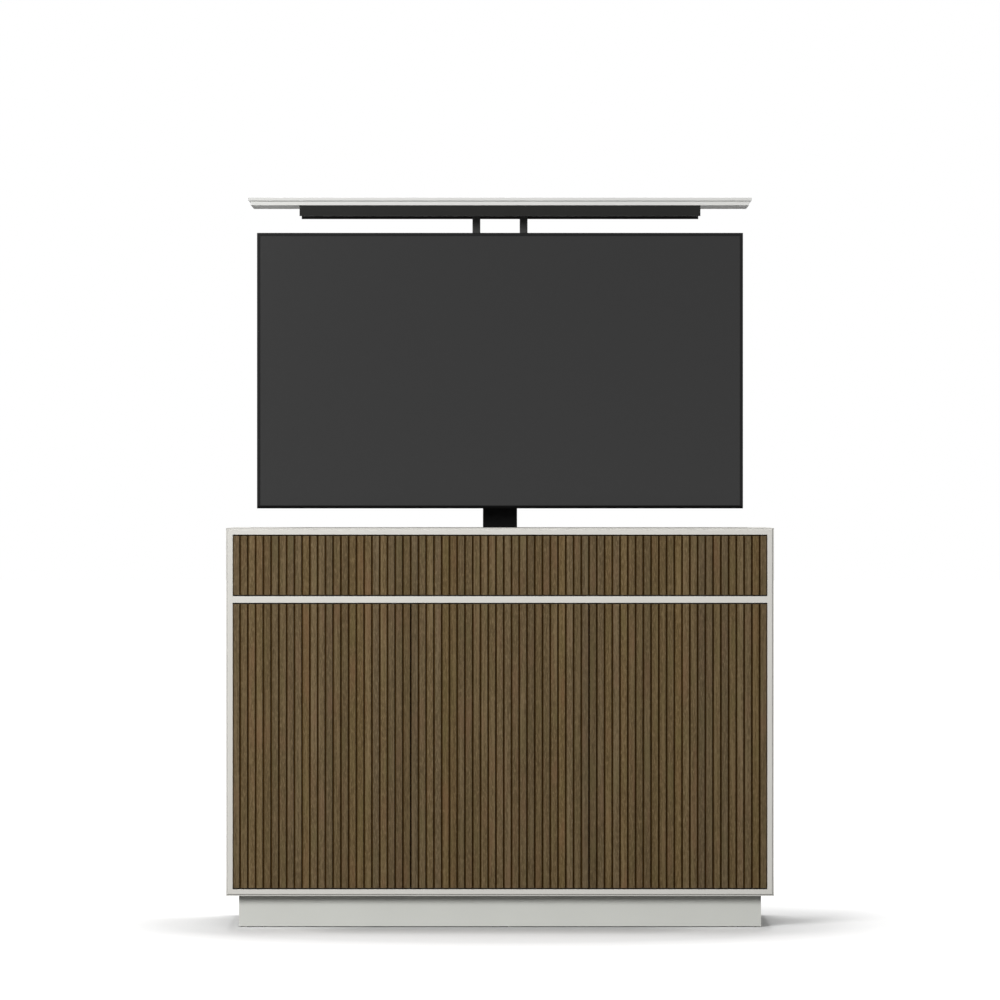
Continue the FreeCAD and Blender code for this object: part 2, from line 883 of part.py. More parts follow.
def hollow_spindle():
    """Threaded tube: its lower end is a nut on the drive spindle, its collar rests on the foot."""
    z0 = middle_bottom + foot_gap
    z1 = middle_top - hollow_spindle_below_tube
    shaft = rod_z(hollow_spindle_r, z0, z1, 0, column_y)
    collar_z = foot_top + slide_gap
    collar = rod_z(hollow_collar_r, collar_z, collar_z + hollow_collar_height - slide_gap, 0, column_y)
    bore = rod_z(hollow_spindle_bore_r, z0 + hollow_nut_length, z1 + 1, 0, column_y)
    nut_bore = rod_z(drive_spindle_r + spindle_clearance, z0 - 1, z0 + hollow_nut_length + 1,
                     0, column_y)
    return shaft.fuse(collar).cut(bore).cut(nut_bore).removeSplitter()


def inner_tube():
    tube = column_tube(inner_tube_width, inner_tube_depth, inner_bottom, head_bottom)
    inside = column_tube(inner_inside_width, inner_inside_depth, inner_bottom - 1, head_bottom + 1)
    return tube.cut(inside)


def lift_nut():
    block = column_tube(inner_inside_width, inner_inside_depth, inner_bottom,
                        inner_bottom + lift_nut_height)
    bore = rod_z(hollow_spindle_r + spindle_clearance, inner_bottom - 1,
                 inner_bottom + lift_nut_height + 1, 0, column_y)
    return block.cut(bore)


def inner_glide_ring():
    return glide_ring(inner_tube_width, inner_tube_depth, inner_bottom)


# Television and its mount ------------------------------------------------------------------------

def mount_screw_seats():
    """Bolts through the mount plate and the head bracket behind it."""
    seats = []
    for x in (-1, 1):
        for z in (-1, 1):
            seats.append(Vector(x * (bracket_width / 2 - mount_bolt_inset), plate_front,
                                tv_centre + z * mount_bolt_rise))
    return seats


def vesa_screw_seats():
    seats = []
    for x in (-1, 1):
        for z in (-1, 1):
            seats.append(Vector(x * arm_spacing / 2, tv_rear + arm_sheet,
                                tv_centre + z * vesa_height / 2))
    return seats


def lid_screw_seats():
    seats = []
    end_x = channel_length / 2 - lid_screw_end_inset
    for x in spread(-end_x, end_x, lid_screw_columns):
        for y in (channel_front + lid_screw_side_inset,
                  channel_front + channel_depth - lid_screw_side_inset):
            seats.append(Vector(x, y, web_bottom))
    return seats


mount_screw_length = mount_plate_thickness + bracket_sheet
vesa_screw_length = arm_sheet + tv_shell


def carriage_screws():
    screws = []
    for seat in mount_screw_seats():
        screws.append(screw(seat, Vector(0, -1, 0), mount_screw_head_r, mount_screw_r,
                            mount_screw_length))
    for seat in vesa_screw_seats():
        screws.append(screw(seat, Vector(0, 1, 0), mount_screw_head_r, mount_screw_r,
                            vesa_screw_length))
    for seat in lid_screw_seats():
        screws.append(screw(seat, Vector(0, 0, -1), lid_screw_head_r, lid_screw_r,
                            lid_screw_length))
    return Part.makeCompound(screws)


def mount_screw_holes():
    return [screw_hole(seat, Vector(0, -1, 0), mount_screw_r, mount_screw_length)
            for seat in mount_screw_seats()]


def vesa_screw_holes():
    return [screw_hole(seat, Vector(0, 1, 0), mount_screw_r, vesa_screw_length)
            for seat in vesa_screw_seats()]


def lid_screw_holes():
    return [screw_hole(seat, Vector(0, 0, -1), lid_screw_r, lid_screw_length)
            for seat in lid_screw_seats()]


def head_bracket():
    """Bent sheet: a cap on the inner tube and a plate that hangs down behind the television."""
    half = bracket_width / 2
    cap_rear = column_y + inner_tube_depth / 2 + bracket_overhang
    cap = box(-half, half, bracket_front, cap_rear, head_bottom, head_top)
    plate = box(-half, half, bracket_front, bracket_rear,
                tv_centre - mount_plate_height / 2, head_top)
    return cut_all(cap.fuse(plate).removeSplitter(), mount_screw_holes())


def mount_plate():
    half = mount_plate_width / 2
    plate = box(-half, half, plate_front, bracket_front,
                tv_centre - mount_plate_height / 2, tv_centre + mount_plate_height / 2)
    cutters = mount_screw_holes()
    for x in (-half + mount_slot_inset, half - mount_slot_inset):
        for z in (-mount_slot_pitch, 0, mount_slot_pitch):
            cutters.append(box(x - mount_slot_length / 2, x + mount_slot_length / 2,
                               plate_front - 1, bracket_front + 1,
                               tv_centre + z - mount_slot_width / 2,
                               tv_centre + z + mount_slot_width / 2))
    return cut_all(plate, cutters)


def vesa_arms():
    arms = []
    for side in (-1, 1):
        x = side * arm_spacing / 2
        outside = box(x - arm_width / 2, x + arm_width / 2, tv_rear, plate_front,
                      tv_centre - arm_length / 2, tv_centre + arm_length / 2)
        inside = box(x - arm_width / 2 + arm_sheet, x + arm_width / 2 - arm_sheet,
                     tv_rear + arm_sheet, plate_front + 1,
                     tv_centre - arm_length / 2 - 1, tv_centre + arm_length / 2 + 1)
        arms.append(cut_all(outside.cut(inside), vesa_screw_holes()))
    return Part.makeCompound(arms)


def tv_box(inset, y0, y1):
    return box(-tv_width / 2 + inset, tv_width / 2 - inset, y0, y1,
               tv_bottom + inset, tv_top - inset)


def tv_frame():
    """Bezel and rim in one: a thin lip over the screen's edge and a wall round the set."""
    window = tv_box(tv_bezel, tv_front - 1, tv_front + tv_lip + 1)
    cavity = tv_box(tv_frame_wall, tv_front + tv_lip, tv_rim_rear + 1)
    return tv_box(0, tv_front, tv_rim_rear).cut(window).cut(cavity)


def tv_screen():
    y0 = tv_front + tv_lip
    return tv_box(tv_frame_wall, y0, y0 + tv_screen_thickness)


def tv_display_module():
    y0 = tv_front + tv_lip + tv_screen_thickness
    return tv_box(tv_frame_wall, y0, y0 + tv_module_thickness)


def bulge(shrink, y0, y1):
    """Four-sided bulge of the back cover, narrower towards the rear."""
    base = bulge_base_inset + shrink
    flat_x = bulge_flat_inset_x + shrink
    flat_z = bulge_flat_inset_z + shrink
    half = tv_width / 2
    return Part.makeWedge(-half + base, y0, tv_bottom + base, tv_bottom + flat_z, -half + flat_x,
                          half - base, y1, tv_top - base, tv_top - flat_z, half - flat_x)


def socket_bay(grow):
    """Sunk bay for the sockets, beside one edge of the bulge's flat rear."""
    x0 = -tv_width / 2 + bulge_flat_inset_x + socket_bay_inset
    half = socket_bay_height / 2
    return box(x0 - grow, x0 + socket_bay_width + grow, tv_rear - socket_bay_depth - grow,
               tv_rear + 1, tv_centre - half - grow, tv_centre + half + grow)


def tv_back_cover():
    plate_y = tv_rim_rear - tv_shell
    plate = tv_box(tv_frame_wall, plate_y, tv_rim_rear)
    outside = plate.fuse(bulge(0, tv_rim_rear, tv_rear)).removeSplitter()
    inside = bulge(tv_shell, plate_y, tv_rear - tv_shell).cut(socket_bay(tv_shell))
    cover = outside.cut(inside).cut(socket_bay(0))
    slots = []
    vent_top = tv_top - bulge_flat_inset_z - tv_vent_drop
    for group_x in (-tv_vent_group_pitch, 0, tv_vent_group_pitch):
        for slot in range(tv_vent_count):
            x = group_x + (slot - (tv_vent_count - 1) / 2) * tv_vent_pitch
            slots.append(box(x - tv_vent_width / 2, x + tv_vent_width / 2,
                             tv_rear - tv_shell - 1, tv_rear + 1, vent_top - tv_vent_length, vent_top))
    return cut_all(cover, slots + vesa_screw_holes())


# Lid ---------------------------------------------------------------------------------------------

def rounded_slab(slab, radius):
    return slab.makeFillet(radius, slab.Edges)


def lid_panel():
    half = opening_width / 2 + lid_overlap
    slab = box(-half, half, opening_front - lid_overlap, opening_back + lid_overlap,
               lip_bottom, lip_bottom + lid_lip_height)
    return rounded_slab(slab, lid_round)


def lid_plug():
    half = opening_width / 2 - lid_clearance
    slab = box(-half, half, plug_front, opening_back - lid_clearance, plug_bottom, lip_bottom)
    return cut_all(slab, lid_screw_holes())


def lid_channel():
    half = channel_length / 2
    y1 = channel_front + channel_depth
    outside = box(-half, half, channel_front, y1, channel_bottom, plug_bottom)
    inside = box(-half - 1, half + 1, channel_front + channel_sheet, y1 - channel_sheet,
                 channel_bottom - 1, web_bottom)
    return cut_all(outside.cut(inside), lid_screw_holes())


def lid_posts():
    posts = []
    half = post_width / 2
    hollow = half - post_wall
    for side in (-1, 1):
        x = side * post_spacing / 2
        tube = box(x - half, x + half, post_y - half, post_y + half, head_top, web_bottom)
        inside = box(x - hollow, x + hollow, post_y - hollow, post_y + hollow,
                     head_top + post_foot_thickness, web_bottom + 1)
        foot = box(x - post_foot / 2, x + post_foot / 2, post_y - post_foot / 2,
                   post_y + post_foot / 2, head_top, head_top + post_foot_thickness)
        posts.append(tube.cut(inside).fuse(foot).removeSplitter())
    return Part.makeCompound(posts)


def control_box():
    x = -inner_half + control_inset
    rear = panel_seat - control_round
    case = box(x - control_width / 2, x + control_width / 2, rear - control_depth, rear,
               bay_floor, bay_floor + control_height)
    upright = [edge for edge in case.Edges if edge.BoundBox.ZLength > control_height / 2]
    return case.makeFillet(control_round, upright)


def cabinet_screws():
    screws = [screw(seat, Vector(0, 1, 0), panel_screw_head_r, panel_screw_r, top_screw_length(seat))
              for seat in panel_screw_seats()]
    screws += [screw(seat, Vector(0, 0, 1), base_screw_head_r, base_screw_r, base_screw_length)
               for seat in base_screw_seats()]
    return Part.makeCompound(screws)


# Nodes -------------------------------------------------------------------------------------------

door_names = ["left_door", "centre_door", "right_door"]
nodes = {
    "top_board": top_board(),
    "left_side": side_board(-1),
    "right_side": side_board(1),
    "bottom_board": bottom_board(),
    "middle_shelf": middle_shelf(),
    "bay_partition": bay_partition(),
    "compartment_dividers": compartment_dividers(),
    "adjustable_shelves": adjustable_shelves(),
    "shelf_pins": shelf_pins(),
    "plinth_boards": plinth_boards(),
    "floor_glides": floor_glides(),
    "back_panel": back_panel(),
    "cable_grommet": cable_grommet(),
    "power_inlet": power_inlet(),
    "cabinet_screws": cabinet_screws(),
    "control_box": control_box(),
    "pivot_bushes": pivot_bushes(),
    "latch_bodies": latch_bodies(),
    "flap_backing": flap_backing(),
    "flap_slats": flap_slats(),
    "flap_pins": flap_pins(),
    "base_plate": base_plate(),
    "outer_tube": outer_tube(),
    "outer_collar": outer_collar(),
    "gearbox": gearbox(),
    "motor": motor(),
    "drive_spindle": drive_spindle(),
    "middle_tube": middle_tube(),
    "middle_foot": middle_foot(),
    "middle_glide_ring": middle_glide_ring(),
    "middle_collar": middle_collar(),
    "hollow_spindle": hollow_spindle(),
    "inner_tube": inner_tube(),
    "lift_nut": lift_nut(),
    "inner_glide_ring": inner_glide_ring(),
    "head_bracket": head_bracket(),
    "mount_plate": mount_plate(),
    "vesa_arms": vesa_arms(),
    "carriage_screws": carriage_screws(),
    "tv_frame": tv_frame(),
    "tv_screen": tv_screen(),
    "tv_display_module": tv_display_module(),
    "tv_back_cover": tv_back_cover(),
    "lid_posts": lid_posts(),
    "lid_channel": lid_channel(),
    "lid_plug": lid_plug(),
    "lid_panel": lid_panel(),
}
for index, name in enumerate(door_names):
    nodes[name + "_backing"] = door_backing(index)
    nodes[name + "_slats"] = door_slats(index)
    nodes[name + "_pins"] = door_pins(index)
for name, place in zip(door_names + ["flap"], latch_places()):
    nodes[name + "_latch_plunger"] = latch_plunger(place)

os.makedirs("parts", exist_ok=True)
for name, shape in nodes.items():
    shape.exportStep("parts/" + name + ".step")
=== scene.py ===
import math

import bmesh
import bpy
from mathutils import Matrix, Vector


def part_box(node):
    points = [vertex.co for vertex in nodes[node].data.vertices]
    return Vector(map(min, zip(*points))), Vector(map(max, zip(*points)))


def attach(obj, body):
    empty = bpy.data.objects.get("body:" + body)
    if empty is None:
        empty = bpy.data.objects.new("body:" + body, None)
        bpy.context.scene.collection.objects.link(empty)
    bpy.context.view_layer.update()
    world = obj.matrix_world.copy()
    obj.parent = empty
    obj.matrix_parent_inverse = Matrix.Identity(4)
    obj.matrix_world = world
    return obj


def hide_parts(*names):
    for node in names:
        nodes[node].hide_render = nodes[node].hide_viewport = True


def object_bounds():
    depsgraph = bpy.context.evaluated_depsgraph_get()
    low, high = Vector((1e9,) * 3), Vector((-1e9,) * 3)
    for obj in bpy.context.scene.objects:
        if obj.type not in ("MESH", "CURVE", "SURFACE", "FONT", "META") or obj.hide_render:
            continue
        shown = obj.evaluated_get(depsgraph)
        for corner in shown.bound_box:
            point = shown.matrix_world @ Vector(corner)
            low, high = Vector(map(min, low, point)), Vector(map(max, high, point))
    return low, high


# TV lift cabinet with its television raised: finishes, small parts, lights and camera around the
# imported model.  Metres, +Z up, X to the right along the front, Y from the front to the back.

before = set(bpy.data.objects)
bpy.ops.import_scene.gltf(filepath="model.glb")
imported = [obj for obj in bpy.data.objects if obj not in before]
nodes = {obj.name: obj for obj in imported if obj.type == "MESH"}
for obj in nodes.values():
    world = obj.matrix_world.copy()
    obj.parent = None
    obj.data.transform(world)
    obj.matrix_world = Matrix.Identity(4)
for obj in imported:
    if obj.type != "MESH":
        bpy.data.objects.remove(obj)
cad_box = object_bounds()

rightward = Vector((1, 0, 0))
rearward = Vector((0, 1, 0))
upward = Vector((0, 0, 1))

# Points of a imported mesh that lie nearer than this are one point
same_point = 0.000002

# Slats of the front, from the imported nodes; their tone rises and falls once in slats_per_wave
slats_per_door = 23
slat_count = 3 * slats_per_door
fronts_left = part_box("flap_slats")[0].x
fronts_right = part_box("flap_slats")[1].x
slat_groove = 0.0047
slat_pitch = (fronts_right - fronts_left + slat_groove) / slat_count
slats_per_wave = 7.9

# Front edge of the casing: width of its set-back strip, how much of the depth behind the front counts
# as that strip, and the painted shade line in the crease beside it
edge_strip = 0.0025
strip_reach = 1.2 * edge_strip
crease_shade_width = 0.0010
crease_shade_depth = 0.85

# Camera: level and far off, at the height of the picture's horizon
camera_height = 1.070
camera_distance = 14.0
camera_lens = 201.6
sensor_width = 36.0
camera_reach = 200.0

# Sky: its light on the object, and its brightness where it is seen or mirrored
sky_strength = 0.30
background_strength = 1.0

# Floor: half its size, its tone for the light it throws back, and its tone where it is seen
floor_half = 60.0
floor_bounce = 0.22
floor_shown = 0.95

# Painted shadow on the floor under the plinth: the share of light it leaves, how far out it reaches,
# how far inside the plinth's ends it begins to fade, and how many times faster it fades behind the
# plinth
contact_shade = 0.59
contact_reach = 0.24
contact_inset = 0.34
contact_fade = 8.0

# Glow that takes the floor to white: it begins at far_start from the middle and is full at far_full,
# with distances to the sides counted as far_sides of themselves.  A weaker one begins behind_start
# behind the middle and is full at behind_full.
far_start = 0.68
far_full = 2.0
far_sides = 0.8
behind_start = 0.05
behind_full = 0.5
behind_glow = 0.24


def srgb(red, green, blue):
    """Linear colour of an 8-bit screen colour."""
    parts = []
    for value in (red, green, blue):
        share = value / 255
        parts.append(share / 12.92 if share <= 0.04045 else ((share + 0.055) / 1.055) ** 2.4)
    return (*parts, 1.0)


def grey(value):
    return (value, value, value, 1.0)


def dimmed(tone, share):
    """A tone with its light cut to a share."""
    return (*(share * part for part in tone[:3]), 1.0)


# Node graphs --------------------------------------------------------------------------------------

class Graph:
    """A node tree, with short calls to add and join nodes."""

    def __init__(self, tree):
        self.tree = tree

    def add(self, kind, inputs=None, **settings):
        """New node with its settings, and its inputs joined or set."""
        node = self.tree.nodes.new(kind)
        for key, value in settings.items():
            setattr(node, key, value)
        for key, value in (inputs or {}).items():
            self.give(node.inputs[key], value)
        return node

    def give(self, socket, value):
        """Joins a socket to an output, or sets it to a plain value."""
        if isinstance(value, bpy.types.NodeSocket):
            self.tree.links.new(value, socket)
        else:
            socket.default_value = value

    def math(self, operation, first, second=0.0):
        return self.add("ShaderNodeMath", {0: first, 1: second}, operation=operation).outputs[0]

    def vector_math(self, operation, first, second):
        return self.add("ShaderNodeVectorMath", {0: first, 1: second},
                        operation=operation).outputs[0]

    def length(self, vector):
        return self.add("ShaderNodeVectorMath", {0: vector}, operation="LENGTH").outputs["Value"]

    def split(self, vector):
        """A vector's outputs X, Y and Z."""
        return self.add("ShaderNodeSeparateXYZ", {0: vector}).outputs

    def join(self, x=0.0, y=0.0, z=0.0):
        return self.add("ShaderNodeCombineXYZ", {"X": x, "Y": y, "Z": z}).outputs[0]

    def remap(self, value, low, high, to_low=0.0, to_high=1.0):
        """A value's range low to high, turned into another, and held at its ends."""
        return self.add("ShaderNodeMapRange", {"Value": value, "From Min": low, "From Max": high,
                                               "To Min": to_low, "To Max": to_high}).outputs[0]

    def mix(self, factor, first, second):
        """A colour between two; the node's sockets 6 and 7 are its colours, and 2 is their mix."""
        return self.add("ShaderNodeMix", {0: factor, 6: first, 7: second},
                        data_type="RGBA").outputs[2]


class Finish(Graph):
    """A material's nodes, around its shader."""

    def __init__(self, name):
        self.material = bpy.data.materials.new(name)
        self.material.use_nodes = True
        super().__init__(self.material.node_tree)
        self.shader = self.tree.nodes["Principled BSDF"]
        self.place = self.add("ShaderNodeTexCoord").outputs["Object"]

    def noise(self, scale, vector=None, detail=2.0, roughness=0.5):
        vector = self.place if vector is None else vector
        return self.add("ShaderNodeTexNoise", {"Vector": vector, "Scale": scale, "Detail": detail,
                                               "Roughness": roughness}).outputs["Fac"]

    def spread(self, noise, to_low=0.0, to_high=1.0):
        """A noise, which lies mostly from 0.3 to 0.7, spread over another range."""
        return self.remap(noise, 0.3, 0.7, to_low, to_high)

    def mottle(self, noise, tone, share):
        """A tone, cut to a share of itself where a noise is low."""
        return self.mix(self.spread(noise), dimmed(tone, share), tone)

    def bump(self, height, distance):
        return self.add("ShaderNodeBump", {"Height": height, "Distance": distance}).outputs[0]

    def surface(self, **sockets):
        """Fills the shader's sockets, named with underscores for spaces, and gives the material."""
        for key, value in sockets.items():
            self.give(self.shader.inputs[key.replace("_", " ")], value)
        return self.material


# Finishes -----------------------------------------------------------------------------------------

def front_crease_shade_mask(graph):
    """Mask of a painted shade line in the crease all round the casing's front, where slope meets strip.
    """
    place = graph.split(graph.place)
    casing_low, casing_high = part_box("left_side")
    lines = ((graph.math("ABSOLUTE", place["X"]), cad_box[1].x - edge_strip),
             (place["Z"], casing_low.z + edge_strip), (place["Z"], casing_high.z - edge_strip))
    nearest = 1.0
    for across, line in lines:
        gap = graph.math("ABSOLUTE", graph.math("SUBTRACT", across, line))
        nearest = graph.math("MINIMUM", gap, nearest)
    in_front = graph.math("LESS_THAN", place["Y"], casing_low.y + strip_reach)
    shade = graph.remap(nearest, crease_shade_width / 2, crease_shade_width / 4, 0.0, crease_shade_depth)
    return graph.math("MULTIPLY", shade, in_front)


def facing_down(graph):
    """Mask of the faces that look at the floor."""
    normal = graph.add("ShaderNodeNewGeometry").outputs["Normal"]
    return graph.math("LESS_THAN", graph.split(normal)["Z"], -0.9)


def lacquer(name, tone, roughness=0.48, shine=0.15, crease_shaded=False, underside_shade=None):
    """Sprayed satin lacquer: a faint cloud in the tone and the gloss, and a very fine peel.

    Optionally it draws painted shade: a dark line in the crease round the casing's front edge, and
    a darker given tone on the faces that look at the floor.
    """
    graph = Finish(name)
    colour = graph.mottle(graph.noise(scale=5.0, detail=3.0), tone, 0.965)
    # Painted shade: the faces that look at the floor take a darker tone
    if underside_shade is not None:
        colour = graph.mix(facing_down(graph), colour, underside_shade)
    # Painted shade: a dark line in the crease round the casing's front edge
    if crease_shaded:
        colour = graph.mix(front_crease_shade_mask(graph), colour, grey(0.02))
    gloss = graph.remap(graph.noise(scale=38.0), 0.35, 0.65, roughness - 0.03, roughness + 0.04)
    peel = graph.noise(scale=650.0, detail=1.0)
    return graph.surface(Base_Color=colour, Roughness=gloss, Specular_IOR_Level=shine,
                         Normal=graph.bump(peel, distance=0.00004))


# Tones of oiled wood: middle, dark, light, reddish, olive
slat_tones = (srgb(103, 86, 58), srgb(76, 61, 37), srgb(126, 108, 78), srgb(111, 85, 61),
              srgb(97, 86, 54))
backing_tones = (srgb(75, 53, 14), srgb(57, 38, 6), srgb(88, 64, 24), srgb(80, 52, 16),
                 srgb(71, 53, 14))

# How far apart in the plank two neighbouring slats are cut
jump_across = 0.37
jump_along = 1.93


def slat_number(graph):
    """Number of the slat from the left, so that each can have its own cut and tone."""
    from_left = graph.math("SUBTRACT", graph.split(graph.place)["X"], fronts_left - slat_groove / 2)
    return graph.math("FLOOR", graph.math("DIVIDE", from_left, slat_pitch))


def slat_variety(graph, slat, colour, tone_spread, warmth_spread):
    """A colour made lighter or darker, and warmer or cooler, from slat to slat."""
    chance = graph.add("ShaderNodeTexWhiteNoise", {"W": slat}, noise_dimensions="1D").outputs
    wave = graph.math("SINE", graph.math("MULTIPLY", slat, 2 * math.pi / slats_per_wave))
    lift = graph.math("MULTIPLY", graph.math("SUBTRACT", chance["Value"], 0.5), 2.0)
    lift = graph.math("MULTIPLY", graph.math("ADD", lift, wave), tone_spread)
    warmth = graph.remap(graph.split(chance["Color"])["Y"], 0.0, 1.0,
                         1.0 - warmth_spread, 1.0 + warmth_spread)
    inputs = {"Value": graph.math("ADD", lift, 1.0), "Saturation": warmth, "Color": colour}
    return graph.add("ShaderNodeHueSaturation", inputs).outputs[0]


def upright_wood(name, tones, roughness, tone_spread, warmth_spread):
    """Oiled wood with its grain along Z: each slat is cut from another part of the plank."""
    graph = Finish(name)
    middle, dark, light, reddish, olive = tones
    slat = slat_number(graph)
    jump = graph.join(x=graph.math("MULTIPLY", slat, jump_across),
                      z=graph.math("MULTIPLY", slat, jump_along))
    cut = graph.vector_math("ADD", graph.place, jump)

    def grain(scale, squeeze, detail=2.0, coarseness=0.5):
        """Noise drawn out along the grain."""
        drawn_out = graph.vector_math("MULTIPLY", cut, (1.0, 1.0, squeeze))
        return graph.noise(scale, drawn_out, detail, coarseness)

    streaks = grain(scale=620.0, squeeze=0.045, detail=4.0, coarseness=0.62)
    flecks = grain(scale=330.0, squeeze=0.22, detail=3.0, coarseness=0.55)
    bands = grain(scale=150.0, squeeze=0.03)
    pores = graph.remap(grain(scale=1500.0, squeeze=0.05), 0.58, 0.70)
    hue = grain(scale=30.0, squeeze=0.25)

    colour = graph.mix(graph.remap(streaks, 0.34, 0.64), dark, middle)
    # Each layer: a noise, where in it the layer starts and is full, how far it covers, its tone
    for noise, start, full, cover, tone in (
            (flecks, 0.50, 0.72, 0.85, light), (flecks, 0.48, 0.28, 0.70, dark),
            (bands, 0.48, 0.74, 0.60, light), (hue, 0.54, 0.74, 0.55, reddish),
            (hue, 0.45, 0.28, 0.50, olive)):
        colour = graph.mix(graph.remap(noise, start, full, 0.0, cover), colour, tone)
    colour = graph.mix(graph.math("MULTIPLY", pores, 0.6), colour, dark)

    relief = graph.math("SUBTRACT", streaks, graph.math("MULTIPLY", pores, 0.5))
    gloss = graph.spread(streaks, roughness + 0.07, roughness - 0.05)
    return graph.surface(Base_Color=slat_variety(graph, slat, colour, tone_spread, warmth_spread),
                         Roughness=gloss, Specular_IOR_Level=0.12,
                         Normal=graph.bump(relief, distance=0.00012))


def powder_coat(name, tone, roughness=0.5, grain=1400.0, depth=0.00006, shine=0.12):
    """Powder coat: a tight pebbled skin."""
    graph = Finish(name)
    pebble = graph.noise(grain)
    gloss = graph.spread(graph.noise(scale=60.0), roughness - 0.05, roughness + 0.05)
    return graph.surface(Base_Color=graph.mottle(pebble, tone, 0.8), Roughness=gloss,
                         Normal=graph.bump(pebble, depth), Specular_IOR_Level=shine)


def drawn_metal(name, tone, roughness, metallic=1.0, shine=0.5):
    """Metal with fine lines along X."""
    graph = Finish(name)
    drawn = graph.vector_math("MULTIPLY", graph.place, (0.02, 1.0, 1.0))
    lines = graph.noise(scale=2200.0, vector=drawn, detail=3.0, roughness=0.6)
    blotch = graph.noise(scale=24.0, detail=3.0)
    gloss = graph.spread(lines, roughness - 0.06, roughness + 0.09)
    return graph.surface(Base_Color=graph.mottle(blotch, tone, 0.88), Roughness=gloss,
                         Metallic=metallic, Specular_IOR_Level=shine,
                         Normal=graph.bump(lines, distance=0.00002))


def moulded(name, tone, roughness=0.45, grain=1800.0, depth=0.00003, shine=0.4):
    """Moulded plastic with a fine spark-eroded grain."""
    graph = Finish(name)
    pitted = graph.noise(grain, detail=1.0)
    flow = graph.noise(scale=14.0)
    gloss = graph.spread(pitted, roughness - 0.04, roughness + 0.06)
    return graph.surface(Base_Color=graph.mottle(flow, tone, 0.9), Roughness=gloss,
                         Normal=graph.bump(pitted, depth), Specular_IOR_Level=shine)


def anti_glare(name, tone, shine):
    """Screen film: dark grey under a fine matt sparkle."""
    graph = Finish(name)
    sparkle = graph.noise(scale=3200.0, detail=0.0)
    cloud = graph.noise(scale=1.3, detail=1.0)
    return graph.surface(Base_Color=graph.mottle(cloud, tone, 0.92), Specular_IOR_Level=shine,
                         Roughness=graph.spread(sparkle, 0.18, 0.24),
                         Normal=graph.bump(sparkle, distance=0.000004))


# A finish for each material slot of the record, then the finishes of pieces made here and of pins
finishes = {
    "casing_lacquer": lacquer("casing_lacquer_finish", srgb(221, 219, 213), crease_shaded=True),
    "interior_board": lacquer("interior_board_finish", srgb(206, 204, 198), 0.55),
    "slat_wood": upright_wood("slat_wood_finish", slat_tones, 0.52, 0.094, 0.07),
    "slat_backing": upright_wood("slat_backing_finish", backing_tones, 0.6, 0.03, 0.0),
    "lid_lacquer": lacquer("lid_lacquer_finish", srgb(222, 222, 219)),
    # Painted shade: this black is darker than real powder coat, for the column's shade under the
    # television
    "column_steel": powder_coat("column_steel_shaded_finish", (0.002, 0.002, 0.0022, 1.0), shine=0.07),
    "channel_black": drawn_metal("channel_black_finish", (0.014, 0.014, 0.013, 1.0), 0.42, 0.0,
                                 shine=0.1),
    "bright_steel": drawn_metal("bright_steel_finish", (0.56, 0.56, 0.57, 1.0), 0.3),
    "black_nylon": moulded("black_nylon_finish", (0.012, 0.012, 0.013, 1.0)),
    "white_nylon": moulded("white_nylon_finish", (0.72, 0.72, 0.69, 1.0), 0.4),
    "tv_plastic": moulded("tv_plastic_finish", (0.008, 0.008, 0.0082, 1.0), 0.4, shine=0.1),
    "tv_screen": anti_glare("tv_screen_finish", grey(0.0025), shine=0.44),
    "display_metal": drawn_metal("display_metal_finish", (0.42, 0.42, 0.43, 1.0), 0.4),
    "motor_metal": moulded("motor_metal_finish", (0.02, 0.02, 0.022, 1.0), 0.35),
    "cast_housing": powder_coat("cast_housing_finish", (0.45, 0.45, 0.46, 1.0), 0.4, 420.0, 0.0002),
    "glide_rubber": moulded("glide_rubber_finish", grey(0.025), 0.7),
    "tv_cover": moulded("tv_cover_finish", (0.009, 0.009, 0.0092, 1.0), 0.5, 900.0, 0.00008,
                        shine=0.3),
    # Painted shade: the chin's darker, duller finish stands for shade on the bezel's lower edge
    "tv_chin": moulded("chin_shade_finish", grey(0.0015), 0.55, shine=0.03),
    "black_screws": powder_coat("black_screws_finish", grey(0.01), 0.4, shine=0.4),
    "dark_pins": drawn_metal("dark_pins_finish", (0.06, 0.055, 0.05, 1.0), 0.45),
}

for node in nodes.values():
    for index, material in enumerate(node.data.materials):
        node.data.materials[index] = finishes[material.name.split(".")[0]]

# Nodes that differ from the rest of their slot
own_finishes = {
    # Painted light: the posts' tone is lighter than black, to lift them out of the lid's shade
    "lid_posts": powder_coat("post_black_lightened_finish", (0.084, 0.084, 0.082, 1.0)),
    "pivot_bushes": finishes["black_nylon"],
    "plinth_boards": lacquer("plinth_finish", srgb(219, 220, 214)),
    # Painted shade: the bottom board's faces that look at the floor are darker, deepening the shade
    # under the casing
    "bottom_board": lacquer("bottom_board_finish", srgb(221, 219, 213), crease_shaded=True,
                            underside_shade=srgb(120, 116, 108)),
    # Lighter than the lid's lacquer: partly the plug's own tone, partly painted light that lifts its
    # shaded underside
    "lid_plug": lacquer("lid_plug_lightened_finish", srgb(227, 227, 224), 0.6, 0.06),
    "left_door_pins": finishes["dark_pins"],
    "centre_door_pins": finishes["dark_pins"],
    "right_door_pins": finishes["dark_pins"],
    "flap_pins": finishes["dark_pins"],
}
for name, finish in own_finishes.items():
    nodes[name].data.materials[0] = finish


# Eased edges --------------------------------------------------------------------------------------

